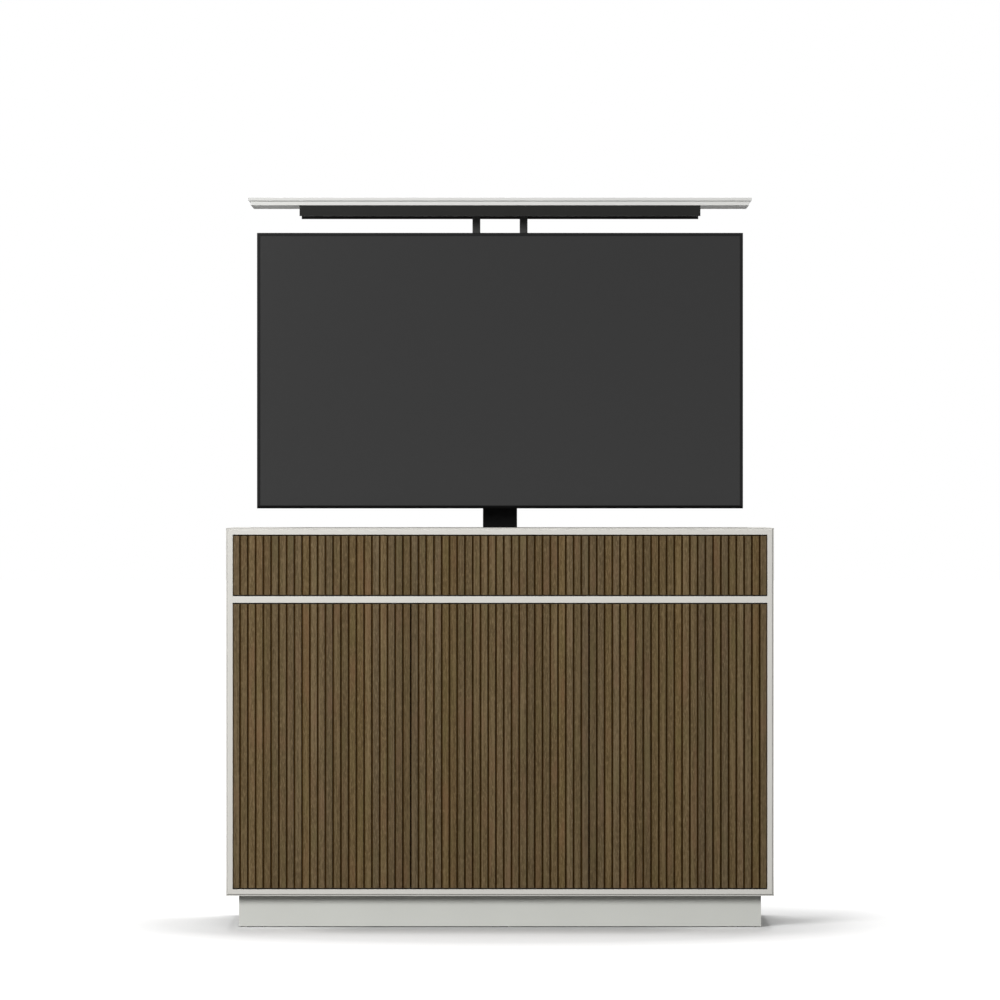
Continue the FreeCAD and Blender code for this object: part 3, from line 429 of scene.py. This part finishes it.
def ease_edges(name, radius):
    """Small round on a node's sharp edges: modifiers that leave the node's own mesh alone."""
    modifiers = nodes[name].modifiers
    weld = modifiers.new("weld", "WELD")
    weld.merge_threshold = same_point
    flatten = modifiers.new("flatten", "DECIMATE")
    flatten.decimate_type = "DISSOLVE"
    flatten.angle_limit = math.radians(0.5)
    bevel = modifiers.new("ease", "BEVEL")
    bevel.width = radius
    bevel.segments = 2
    bevel.limit_method = "ANGLE"
    bevel.angle_limit = math.radians(40.0)
    bevel.miter_outer = "MITER_ARC"
    modifiers.new("normals", "WEIGHTED_NORMAL")


eased = {
    0.0003: ["top_board", "left_side", "right_side", "bottom_board", "middle_shelf",
             "bay_partition"],
    0.0006: ["lid_plug", "lid_channel", "mount_plate", "vesa_arms", "compartment_dividers",
             "adjustable_shelves", "latch_bodies", "floor_glides"],
    0.0010: ["tv_frame", "head_bracket", "base_plate", "outer_collar", "middle_collar",
             "left_door_backing", "centre_door_backing", "right_door_backing", "flap_backing"],
    0.0020: ["lid_posts", "control_box", "gearbox", "outer_tube", "middle_tube", "inner_tube"],
}
for radius, names in eased.items():
    for name in names:
        ease_edges(name, radius)


# Shapes -------------------------------------------------------------------------------------------

def plane_axes(axis):
    """Two directions across an axis."""
    if abs(axis.x) > 0.5:
        return rearward, upward
    if abs(axis.y) > 0.5:
        return rightward, upward
    return rightward, rearward


def set_out(place, axis, height, points):
    """Flat points set across an axis, at a height along it from a place."""
    across, up = plane_axes(axis)
    return [place + axis * height + across * point[0] + up * point[1] for point in points]


def skin(mesh, loops):
    """Closed shape through loops that have equally many points."""
    rings = [[mesh.verts.new(point) for point in loop] for loop in loops]
    count = len(rings[0])
    for lower, upper in zip(rings, rings[1:]):
        for index in range(count):
            following = (index + 1) % count
            mesh.faces.new((lower[index], lower[following], upper[following], upper[index]))
    mesh.faces.new(list(reversed(rings[0])))
    mesh.faces.new(rings[-1])


def row(middle, pitch, count):
    """Evenly spaced places about a middle."""
    return [middle + (index - (count - 1) / 2) * pitch for index in range(count)]


def circle(radius, count=24):
    return [(radius * math.cos(2 * math.pi * step / count),
             radius * math.sin(2 * math.pi * step / count)) for step in range(count)]


def rounded_rectangle(half_width, half_height, corner, steps=4):
    """Rectangle with round corners, each in so many steps."""
    points = []
    for quarter, (side_x, side_y) in enumerate(((1, 1), (-1, 1), (-1, -1), (1, -1))):
        for step in range(steps + 1):
            angle = math.pi / 2 * (quarter + step / steps)
            points.append((side_x * (half_width - corner) + corner * math.cos(angle),
                           side_y * (half_height - corner) + corner * math.sin(angle)))
    return points


def turned(mesh, place, axis, profile, count=24):
    """Turned shape: profile is a list of heights along the axis and radii."""
    skin(mesh, [set_out(place, axis, height, circle(radius, count)) for height, radius in profile])


def block(mesh, low, high, axis, corner, chamfer):
    """Block with round corners about an axis and chamfered ends."""
    centre = (Vector(low) + Vector(high)) / 2
    half = (Vector(high) - Vector(low)) / 2
    across, up = plane_axes(axis)
    half_width, half_height, reach = abs(half.dot(across)), abs(half.dot(up)), abs(half.dot(axis))
    full = rounded_rectangle(half_width, half_height, corner)
    inner = rounded_rectangle(half_width - chamfer, half_height - chamfer,
                              max(corner - chamfer, corner / 4))
    skin(mesh, [set_out(centre, axis, -reach, inner), set_out(centre, axis, chamfer - reach, full),
                set_out(centre, axis, reach - chamfer, full), set_out(centre, axis, reach, inner)])


def add_object(name, data):
    """New object in the scene."""
    thing = bpy.data.objects.new(name, data)
    bpy.context.scene.collection.objects.link(thing)
    return thing


def mesh_data(name, mesh):
    """Lasting copy of a working mesh, which is freed."""
    data = bpy.data.meshes.new(name)
    mesh.to_mesh(data)
    mesh.free()
    return data


def make_piece(name, mesh, slot, body, finish=None, sharp=35.0):
    """Piece with its finish, riding on a body, smooth but for edges sharper than an angle."""
    bmesh.ops.recalc_face_normals(mesh, faces=mesh.faces)
    data = mesh_data(name, mesh)
    data.materials.append(finish or finishes[slot])
    data.shade_smooth()
    data.set_sharp_from_angle(angle=math.radians(sharp))
    piece = add_object(name, data)
    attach(piece, body)
    return piece


# Screws and nuts ----------------------------------------------------------------------------------

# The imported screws' head height, and the largest head radius that has a cross recess
screw_head_height = 0.0025
largest_cross_head = 0.0055

# Shank's tip: its width and its length as shares of the shank's width and radius
tip_width = 0.7
tip_length = 0.6

# Pan head from its seat to the edge of its flat top: shares of its height and of its radius
pan_head = ((0.0, 0.97), (0.12, 1.0), (0.45, 1.0), (0.75, 0.93), (0.94, 0.8), (1.0, 0.64))

# Recess: its depth as a share of the head's height, its floor as a share of its mouth, and half the
# hexagon's width over its flats, half the cross's width and half its length as shares of the head
recess_depth = 0.45
recess_floor = 0.72
hexagon_width = 0.42
cross_width = 0.13
cross_length = 0.58


def polar(angles, radii):
    """Points at angles and radii about a middle."""
    return [(radius * math.cos(angle), radius * math.sin(angle))
            for angle, radius in zip(angles, radii)]


def cross_outline(radius):
    """Cross recess as polar points, its corners among them, with their angles."""
    corner = math.atan2(cross_width, cross_length)
    quarter = (0.0, corner, math.radians(30), math.radians(45), math.radians(60),
               math.pi / 2 - corner)
    angles = [turn * math.pi / 2 + angle for turn in range(4) for angle in quarter]
    radii = []
    for angle in angles:
        cosine, sine = abs(math.cos(angle)) + 1e-9, abs(math.sin(angle)) + 1e-9
        radii.append(radius * max(min(cross_length / cosine, cross_width / sine),
                                  min(cross_length / sine, cross_width / cosine)))
    return angles, polar(angles, radii)


def hexagon_outline(half_width):
    """Hexagon as polar points, from half its width over the flats, with their angles."""
    steps = 24
    angles = [2 * math.pi * step / steps for step in range(steps)]
    radii = [half_width / math.cos((angle + math.pi / 6) % (math.pi / 3) - math.pi / 6)
             for angle in angles]
    return angles, polar(angles, radii)


def screw(mesh, seat, axis, head_radius, shank_radius, shank_length, recess, head=screw_head_height):
    """Pan-head screw on its seat, with a cross or hexagon recess."""
    if recess == "cross":
        angles, mouth = cross_outline(head_radius)
    else:
        angles, mouth = hexagon_outline(hexagon_width * head_radius)
    profile = [(-shank_length, tip_width * shank_radius),
               (tip_length * shank_radius - shank_length, shank_radius), (0.0, shank_radius)]
    profile += [(height * head, radius * head_radius) for height, radius in pan_head]
    loops = [set_out(seat, axis, height, polar(angles, [radius] * len(angles)))
             for height, radius in profile]
    loops.append(set_out(seat, axis, head, mouth))
    sunk = [(recess_floor * point[0], recess_floor * point[1]) for point in mouth]
    loops.append(set_out(seat, axis, head * (1 - recess_depth), sunk))
    skin(mesh, loops)


def loose_parts(name):
    """Points of each separate solid in a node, in the order of its mesh."""
    mesh = bmesh.new()
    mesh.from_mesh(nodes[name].data)
    bmesh.ops.remove_doubles(mesh, verts=mesh.verts, dist=same_point)
    found = set()
    parts = []
    for start in mesh.verts:
        if start in found:
            continue
        found.add(start)
        group = [start]
        for vertex in group:
            for edge in vertex.link_edges:
                other = edge.other_vert(vertex)
                if other not in found:
                    found.add(other)
                    group.append(other)
        parts.append([vertex.co.copy() for vertex in group])
    mesh.free()
    return parts


def screw_size(points):
    """Seat, axis, head radius, shank radius and shank length of a screw, from its points.

    Its axis is its odd measure out, and points from the shank to the wide end.
    """
    low = Vector([min(point[axis] for point in points) for axis in range(3)])
    high = Vector([max(point[axis] for point in points) for axis in range(3)])
    centre = (low + high) / 2
    sizes = high - low
    odd = max(range(3), key=lambda axis: abs(3 * sizes[axis] - sum(sizes)))
    head_radius = sizes[(odd + 1) % 3] / 2
    axis = Vector((0, 0, 0))
    axis[odd] = 1.0

    def off_axis(point):
        return (point - centre - axis * (point - centre).dot(axis)).length

    rim = [point for point in points if off_axis(point) > 0.9 * head_radius]
    if sum((point - centre).dot(axis) for point in rim) < 0:
        axis = -axis
    seat = centre + axis * (sizes[odd] / 2 - screw_head_height)
    shank_radius = max(off_axis(point) for point in points
                       if (point - centre).dot(axis) < 0 and off_axis(point) < 0.6 * head_radius)
    return seat, axis, head_radius, shank_radius, sizes[odd] - screw_head_height


def make_screws(name, body):
    """Screws with recesses in the places of a node's plain ones."""
    mesh = bmesh.new()
    for points in loose_parts(name):
        seat, axis, head_radius, shank_radius, shank_length = screw_size(points)
        recess = "hexagon" if head_radius > largest_cross_head else "cross"
        screw(mesh, seat, axis, head_radius, shank_radius, shank_length, recess)
    piece = make_piece(name + "_recessed", mesh, "bright_steel", body)
    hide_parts(name)


def bracket_nuts():
    """Washer and thin hexagon nut on each mount bolt, behind the head bracket."""
    bracket_rear = 0.107
    washer_radius = 0.006
    washer_height = 0.0008
    washer_ease = 0.0003
    nut_half_width = 0.005
    nut_height = 0.0022
    nut_ease = 0.0004
    bore_radius = 0.0031
    bore_floor_radius = 0.0026
    bore_depth = 0.0006

    top = washer_height + nut_height
    wide = hexagon_outline(nut_half_width)[1]
    narrow = hexagon_outline(nut_half_width - nut_ease)[1]
    mesh = bmesh.new()
    for points in loose_parts("carriage_screws"):
        seat, axis = screw_size(points)[:2]
        if axis.y > -0.5:
            continue
        place = Vector((seat.x, bracket_rear, seat.z))
        turned(mesh, place, rearward, ((0.0, washer_radius), (0.8 * washer_height, washer_radius),
                                       (washer_height, washer_radius - washer_ease)))
        skin(mesh, [set_out(place, rearward, washer_height, narrow),
                    set_out(place, rearward, washer_height + nut_ease, wide),
                    set_out(place, rearward, top - nut_ease, wide),
                    set_out(place, rearward, top, narrow),
                    set_out(place, rearward, top, circle(bore_radius)),
                    set_out(place, rearward, top - bore_depth, circle(bore_floor_radius))])
    make_piece("bracket_nuts", mesh, "bright_steel", "carriage", sharp=25.0)


def post_bolts():
    """Small bolts at the corners of the posts' feet."""
    post_x = 0.0605
    post_y = 0.125
    foot_top = 1.572
    bolt_spread = 0.0136
    mesh = bmesh.new()
    for side in (-1, 1):
        for x in (-bolt_spread, bolt_spread):
            for y in (-bolt_spread, bolt_spread):
                seat = Vector((side * post_x + x, post_y + y, foot_top))
                screw(mesh, seat, upward, head_radius=0.0031, shank_radius=0.0015,
                      shank_length=0.003, recess="hexagon", head=0.002)
    make_piece("post_bolts", mesh, "bright_steel", "carriage")


make_screws("cabinet_screws", "cabinet")
make_screws("carriage_screws", "carriage")
bracket_nuts()
post_bolts()


# Television ---------------------------------------------------------------------------------------

tv_low, tv_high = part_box("tv_frame")
tv_centre_z = (tv_low.z + tv_high.z) / 2
tv_half_height = (tv_high.z - tv_low.z) / 2
tv_rim_rear = tv_high.y
cover_low, cover_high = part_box("tv_back_cover")
tv_rear = cover_high.y

# Bulge of the back cover: insets of its foot and of its flat rear from the television's edges, and
# the depth of the round ridge between its slopes and its rear
bulge_base_inset = 0.024
bulge_flat_inset_x = 0.185
bulge_flat_inset_z = 0.100
ridge_drop = 0.0035
ridge_steps = 6

vent_groups = (-0.320, 0.0, 0.320)
vents_per_group = 18
vent_pitch = 0.009
vent_width = 0.003
vent_length = 0.026
vent_drop = 0.012
vent_depth = 0.008

# Sunk bay for the sockets, with two columns of them
bay_width = 0.096
bay_height = 0.150
bay_depth = 0.014
bay_inset = 0.060
bay_corner = 0.003
bay_left = tv_low.x + bulge_flat_inset_x + bay_inset
bay_floor = tv_rear - bay_depth
left_column = bay_left + 0.026
right_column = bay_left + 0.070
top_socket_z = tv_centre_z + 0.051


def cover_loop(inset_x, inset_z, y, corner):
    """Outline of the television at a depth, drawn in from its edges."""
    outline = rounded_rectangle(tv_high.x - inset_x, tv_half_height - inset_z, corner, steps=6)
    return set_out(Vector((0, y, tv_centre_z)), rearward, 0.0, outline)


def bezier(start, middle, end, share):
    return (1 - share) ** 2 * start + 2 * share * (1 - share) * middle + share ** 2 * end


def cover_shell():
    """Rim plate and four-sided bulge, with a round ridge about the flat rear."""
    rim_corner = 0.001
    rim_ease = 0.0004
    bulge_corner = 0.010
    foot_out = 0.002
    foot_in_x = 0.003
    foot_in_z = 0.0015
    foot_rise = 0.0006
    ridge_corner = 0.020
    ridge_run = 0.8
    edge = tv_high.x - cover_high.x
    loops = [cover_loop(edge, edge, cover_low.y, rim_corner),
             cover_loop(edge, edge, tv_rim_rear - rim_ease, rim_corner),
             cover_loop(edge + rim_ease, edge + rim_ease, tv_rim_rear, rim_corner),
             cover_loop(bulge_base_inset - foot_out, bulge_base_inset - foot_out, tv_rim_rear,
                        bulge_corner),
             cover_loop(bulge_base_inset + foot_in_x, bulge_base_inset + foot_in_z,
                        tv_rim_rear + foot_rise, bulge_corner)]
    slope = ridge_drop / (tv_rear - tv_rim_rear)
    run_x = (bulge_flat_inset_x - bulge_base_inset) * slope
    run_z = (bulge_flat_inset_z - bulge_base_inset) * slope
    for step in range(ridge_steps + 1):
        share = step / ridge_steps
        inset_x, inset_z = (bezier(inset - run, inset, inset + ridge_run * run, share)
                            for inset, run in ((bulge_flat_inset_x, run_x),
                                               (bulge_flat_inset_z, run_z)))
        y = bezier(tv_rear - ridge_drop, tv_rear, tv_rear, share)
        loops.append(cover_loop(inset_x, inset_z, y, ridge_corner))
    mesh = bmesh.new()
    skin(mesh, loops)
    bmesh.ops.recalc_face_normals(mesh, faces=mesh.faces)
    return mesh


def cover_cutters():
    """Vent slots with round ends, and the sunk bay for the sockets."""
    proud = 0.004
    mesh = bmesh.new()
    nearly_round = 0.98
    middle_z = tv_high.z - bulge_flat_inset_z - vent_drop - vent_length / 2
    slot = rounded_rectangle(vent_width / 2, vent_length / 2, nearly_round * vent_width / 2)
    for group in vent_groups:
        for x in row(group, vent_pitch, vents_per_group):
            place = Vector((x, tv_rear, middle_z))
            skin(mesh, [set_out(place, rearward, -vent_depth, slot),
                        set_out(place, rearward, proud, slot)])
    bay = rounded_rectangle(bay_width / 2, bay_height / 2, bay_corner)
    place = Vector((bay_left + bay_width / 2, tv_rear, tv_centre_z))
    skin(mesh, [set_out(place, rearward, -bay_depth, bay), set_out(place, rearward, proud, bay)])
    bmesh.ops.recalc_face_normals(mesh, faces=mesh.faces)
    return mesh


def make_tv_cover():
    """Moulded back cover: the bulge, its vents and the socket bay cut from it."""
    whole = add_object("cover_whole", mesh_data("cover_whole", cover_shell()))
    cutter = add_object("cover_cutter", mesh_data("cover_cutter", cover_cutters()))
    cut = whole.modifiers.new("cut", "BOOLEAN")
    cut.operation = "DIFFERENCE"
    cut.solver = "EXACT"
    cut.object = cutter
    mesh = bmesh.new()
    mesh.from_mesh(whole.evaluated_get(bpy.context.evaluated_depsgraph_get()).to_mesh())
    bpy.data.objects.remove(cutter)
    bpy.data.objects.remove(whole)
    piece = make_piece("tv_cover_moulding", mesh, "tv_plastic", "carriage", finishes["tv_cover"],
                       sharp=40.0)
    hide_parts("tv_back_cover")


def socket_shell(mesh, place, axis, half_width, half_height, corner, height, wall=0.0005):
    """Shell of a socket: a wall round an opening that has a floor, standing on a face."""
    floor_height = 0.0006
    outer = rounded_rectangle(half_width, half_height, corner)
    inner = rounded_rectangle(half_width - wall, half_height - wall, 0.7 * corner)
    skin(mesh, [set_out(place, axis, 0.0, outer), set_out(place, axis, height, outer),
                set_out(place, axis, height, inner), set_out(place, axis, floor_height, inner)])


def bay_place(x, z):
    """Place on the bay's floor."""
    return Vector((x, bay_floor, z))


def bay_block(mesh, x, z, half_width, heights, depths, corner=0.0002):
    """Block inside a socket of the bay: its heights from z, and its depths from the bay's floor."""
    block(mesh, (x - half_width, bay_floor + depths[0], z + heights[0]),
          (x + half_width, bay_floor + depths[1], z + heights[1]), rearward, corner, corner / 2)


def video_sockets(shells, inserts):
    """Four wide flat sockets."""
    for index in range(4):
        z = top_socket_z - index * 0.024
        socket_shell(shells, bay_place(left_column, z), rearward, half_width=0.0076,
                     half_height=0.0029, corner=0.0009, height=0.0045)
        bay_block(inserts, left_column, z, half_width=0.0056, heights=(-0.0006, 0.0006),
                  depths=(0.0005, 0.0038))


def data_sockets(shells, inserts):
    """Two flat sockets with their tongue off the middle."""
    for index in range(2):
        z = top_socket_z - index * 0.018
        socket_shell(shells, bay_place(right_column, z), rearward, half_width=0.0072,
                     half_height=0.0034, corner=0.0006, height=0.0045)
        bay_block(inserts, right_column, z, half_width=0.0058, heights=(0.0003, 0.0021),
                  depths=(0.0005, 0.0040))


def network_socket(shells, inserts):
    """Nearly square socket with eight contacts."""
    z = tv_centre_z + 0.004
    socket_shell(shells, bay_place(right_column, z), rearward, half_width=0.0080,
                 half_height=0.0068, corner=0.0005, height=0.0050)
    bay_block(inserts, right_column, z, half_width=0.0058, heights=(-0.0058, 0.0036),
              depths=(0.0005, 0.0016), corner=0.0004)
    first_contact = right_column - 0.0036
    contact_pitch = 0.00102
    for index in range(8):
        bay_block(shells, first_contact + index * contact_pitch, z, half_width=0.0002,
                  heights=(-0.0010, 0.0030), depths=(0.0015, 0.0026), corner=0.00008)


def optical_socket(inserts):
    """Small socket with a thick wall."""
    socket_shell(inserts, bay_place(right_column, tv_centre_z - 0.020), rearward,
                 half_width=0.0050, half_height=0.0048, corner=0.0014, height=0.0048, wall=0.0009)


def aerial_socket(shells):
    """Threaded barrel with a pin in it."""
    place = bay_place(right_column, tv_centre_z - 0.048)
    flange = [(0.0, 0.0078), (0.0012, 0.0078), (0.0014, 0.0046)]
    thread = []
    for turn in range(12):
        height = 0.0016 + 0.0006 * turn
        thread += [(height, 0.0047), (height + 0.0003, 0.0043)]
    mouth = [(0.0090, 0.0045), (0.0094, 0.0042), (0.0094, 0.0031), (0.0060, 0.0031)]
    turned(shells, place, rearward, flange + thread + mouth)
    turned(shells, place, rearward, ((0.0058, 0.0006), (0.0086, 0.0006), (0.0089, 0.0003)),
           count=12)


def audio_sockets(inserts):
    """Three round sockets in the left column, under the video sockets."""
    for index in range(3):
        place = bay_place(left_column, tv_centre_z - 0.0435 - index * 0.0095)
        turned(inserts, place, rearward, ((0.0, 0.0036), (0.0030, 0.0036), (0.0034, 0.0032),
                                          (0.0034, 0.0018), (0.0012, 0.0018)))


def make_tv_sockets():
    """Sockets in the sunk bay, with their inserts."""
    shells = bmesh.new()
    inserts = bmesh.new()
    video_sockets(shells, inserts)
    data_sockets(shells, inserts)
    network_socket(shells, inserts)
    optical_socket(inserts)
    aerial_socket(shells)
    audio_sockets(inserts)
    make_piece("tv_socket_shells", shells, "display_metal", "carriage")
    make_piece("tv_socket_inserts", inserts, "black_nylon", "carriage")


def make_tv_rim_screws():
    """Small screws round the back cover's rim."""
    inset = 0.0125
    per_side = 7
    per_end = 4
    side_margin = 0.03
    end_margin = 0.10
    half_x = tv_high.x - inset
    half_z = tv_half_height - inset
    places = []
    for x in row(0.0, 2 * (half_x - side_margin) / (per_side - 1), per_side):
        places += [(x, half_z), (x, -half_z)]
    for z in row(0.0, 2 * (half_z - end_margin) / (per_end - 1), per_end):
        places += [(half_x, z), (-half_x, z)]
    mesh = bmesh.new()
    for x, z in places:
        seat = Vector((x, tv_rim_rear, tv_centre_z + z))
        screw(mesh, seat, rearward, head_radius=0.0030, shank_radius=0.0012, shank_length=0.0020,
              recess="cross", head=0.0012)
    make_piece("tv_rim_screws", mesh, "black_nylon", "carriage", finishes["black_screws"])


def make_tv_chin():
    """Trim strip along the lower edge of the bezel, just proud of it; its darker, duller finish is
    painted shade on the bezel's lower edge.
    """
    strip_end = 0.0012
    strip_front = 0.0005
    strip_rear = 0.0006
    strip_low = 0.0002
    strip_high = 0.0062
    mesh = bmesh.new()
    block(mesh, (tv_low.x + strip_end, tv_low.y - strip_front, tv_low.z + strip_low),
          (tv_high.x - strip_end, tv_low.y + strip_rear, tv_low.z + strip_high), rightward,
          corner=0.0004, chamfer=0.0003)
    make_piece("tv_chin_trim", mesh, "tv_plastic", "carriage", finishes["tv_chin"])


make_tv_cover()
make_tv_sockets()
make_tv_rim_screws()
make_tv_chin()


# Drive and control --------------------------------------------------------------------------------

def make_gearbox_bolts():
    """Bolts that close the gearbox: at its ends, and between the outer tube and the motor."""
    low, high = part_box("gearbox")
    motor_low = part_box("motor")[0]
    inset = 0.006
    middle_shift = 0.033
    mesh = bmesh.new()
    for x in (low.x + inset, (low.x + motor_low.x) / 2 + middle_shift, high.x - inset):
        for y in (low.y + inset, high.y - inset):
            screw(mesh, Vector((x, y, high.z)), upward, head_radius=0.0035, shank_radius=0.002,
                  shank_length=0.004, recess="hexagon")
    make_piece("gearbox_bolts", mesh, "bright_steel", "cabinet")


def make_control_details():
    """Row of sockets on the control box's top, its lamp, and the screws of its lid."""
    low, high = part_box("control_box")
    row_y = low.y + 0.020
    shells = bmesh.new()
    metal = bmesh.new()
    for x in row((low.x + high.x) / 2, pitch=0.024, count=5):
        socket_shell(shells, Vector((x, row_y, high.z)), upward, half_width=0.0085,
                     half_height=0.0065, corner=0.0012, height=0.0030, wall=0.0012)
        for pin in row(x, pitch=0.0035, count=3):
            block(metal, (pin - 0.0004, row_y - 0.0012, high.z),
                  (pin + 0.0004, row_y + 0.0012, high.z + 0.0022), upward,
                  corner=0.0002, chamfer=0.0001)
    lamp = Vector((high.x - 0.016, high.y - 0.020, high.z))
    turned(shells, lamp, upward, ((0.0, 0.0030), (0.0010, 0.0030), (0.0018, 0.0022),
                                  (0.0022, 0.0010)), count=16)
    for x in (low.x + 0.010, high.x - 0.010):
        for y in (low.y + 0.008, high.y - 0.008):
            screw(metal, Vector((x, y, high.z)), upward, head_radius=0.0026, shank_radius=0.0012,
                  shank_length=0.003, recess="cross", head=0.0014)
    make_piece("control_sockets", shells, "black_nylon", "cabinet")
    make_piece("control_pins", metal, "bright_steel", "cabinet")


make_gearbox_bolts()
make_control_details()


# Floor, lights and camera -------------------------------------------------------------------------

def seen(graph):
    """1 for light that goes to the camera, by a mirror or through glass too, and else 0."""
    path = graph.add("ShaderNodeLightPath").outputs
    straight_or_mirrored = graph.math("MAXIMUM", path["Is Camera Ray"], path["Is Glossy Ray"])
    return graph.math("MAXIMUM", straight_or_mirrored, path["Is Transmission Ray"])


def past(graph, place, limit):
    """How far a coordinate lies past a limit, or 0."""
    return graph.math("MAXIMUM", graph.math("SUBTRACT", place, limit), 0.0)


def contact_tone(graph, place):
    """Floor's tone, with a painted shadow under the plinth and round it; the plinth stands about the
    origin.
    """
    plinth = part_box("plinth_boards")[1]
    beside = past(graph, graph.math("ABSOLUTE", place["X"]), plinth.x - contact_inset)
    before = past(graph, graph.math("MULTIPLY", place["Y"], -1.0), plinth.y)
    after = graph.math("MULTIPLY", past(graph, place["Y"], plinth.y), contact_fade)
    shade = graph.remap(graph.length(graph.join(beside, before, after)), 0.0, contact_reach,
                        contact_shade, 1.0)
    return graph.mix(shade, grey(0.0), grey(floor_shown))


def floor_material():
    """Paper that throws little light back; where it is seen it is pale, with a painted shadow round the
    plinth, and white far off.
    """
    graph = Finish("floor_paper")
    graph.tree.nodes.remove(graph.shader)
    place = graph.split(graph.place)
    from_middle = graph.length(graph.vector_math("MULTIPLY", graph.place, (far_sides, 1.0, 1.0)))
    far = graph.remap(from_middle, far_start, far_full)
    behind = graph.remap(place["Y"], behind_start, behind_full, 0.0, behind_glow)
    paper = graph.add("ShaderNodeBsdfDiffuse", {"Color": grey(floor_bounce)})
    shown = graph.add("ShaderNodeBsdfDiffuse", {"Color": contact_tone(graph, place)})
    glow = graph.add("ShaderNodeEmission", {"Strength": graph.math("ADD", far, behind)})
    lit = graph.add("ShaderNodeAddShader", {0: shown.outputs[0], 1: glow.outputs[0]})
    both = graph.add("ShaderNodeMixShader", {0: seen(graph), 1: paper.outputs[0],
                                             2: lit.outputs[0]})
    graph.give(graph.tree.nodes["Material Output"].inputs["Surface"], both.outputs[0])
    return graph.material


def make_floor():
    """Level square under the object."""
    mesh = bpy.data.meshes.new("floor")
    corners = [(x, y, 0.0) for x, y in ((-floor_half, -floor_half), (floor_half, -floor_half),
                                        (floor_half, floor_half), (-floor_half, floor_half))]
    mesh.from_pydata(corners, [], [(0, 1, 2, 3)])
    mesh.materials.append(floor_material())
    floor = add_object("floor", mesh)


def make_sky():
    """Even sky: plain light on the object, white wherever it is seen or mirrored."""
    world = bpy.data.worlds.new("sky")
    world.use_nodes = True
    bpy.context.scene.world = world
    graph = Graph(world.node_tree)
    background = graph.tree.nodes["Background"]
    graph.give(background.inputs["Color"], grey(1.0))
    graph.give(background.inputs["Strength"],
               graph.remap(seen(graph), 0.0, 1.0, sky_strength, background_strength))


def make_lamp(name, place, aim, width, height, watts):
    """Soft rectangular lamp that faces a point."""
    light = bpy.data.lights.new(name, "AREA")
    light.shape = "RECTANGLE"
    light.size = width
    light.size_y = height
    light.energy = watts
    lamp = add_object(name, light)
    lamp.location = place
    lamp.rotation_euler = (Vector(aim) - Vector(place)).to_track_quat("-Z", "Y").to_euler()


def make_camera():
    """Camera that looks level along Y at the casing's front."""
    camera = bpy.data.cameras.new("camera")
    camera.lens = camera_lens
    camera.sensor_width = sensor_width
    camera.clip_end = camera_reach
    holder = add_object("camera", camera)
    holder.location = (0.0, cad_box[0].y - camera_distance, camera_height)
    holder.rotation_euler = (math.radians(90.0), 0.0, 0.0)
    bpy.context.scene.camera = holder


make_floor()
make_sky()
make_lamp("key", place=(-3.6, -6.3, 3.8), aim=(0.0, 0.0, 0.9), width=3.6, height=2.8, watts=456.0)
make_lamp("fill", place=(5.0, -5.2, 3.4), aim=(0.0, 0.0, 0.9), width=2.4, height=2.4, watts=40.0)
make_lamp("overhead", place=(0.2, 2.4, 9.6), aim=(0.0, 0.0, 0.6), width=3.6, height=3.6, watts=430.0)
make_camera()
bpy.context.scene.view_settings.view_transform = "Standard"
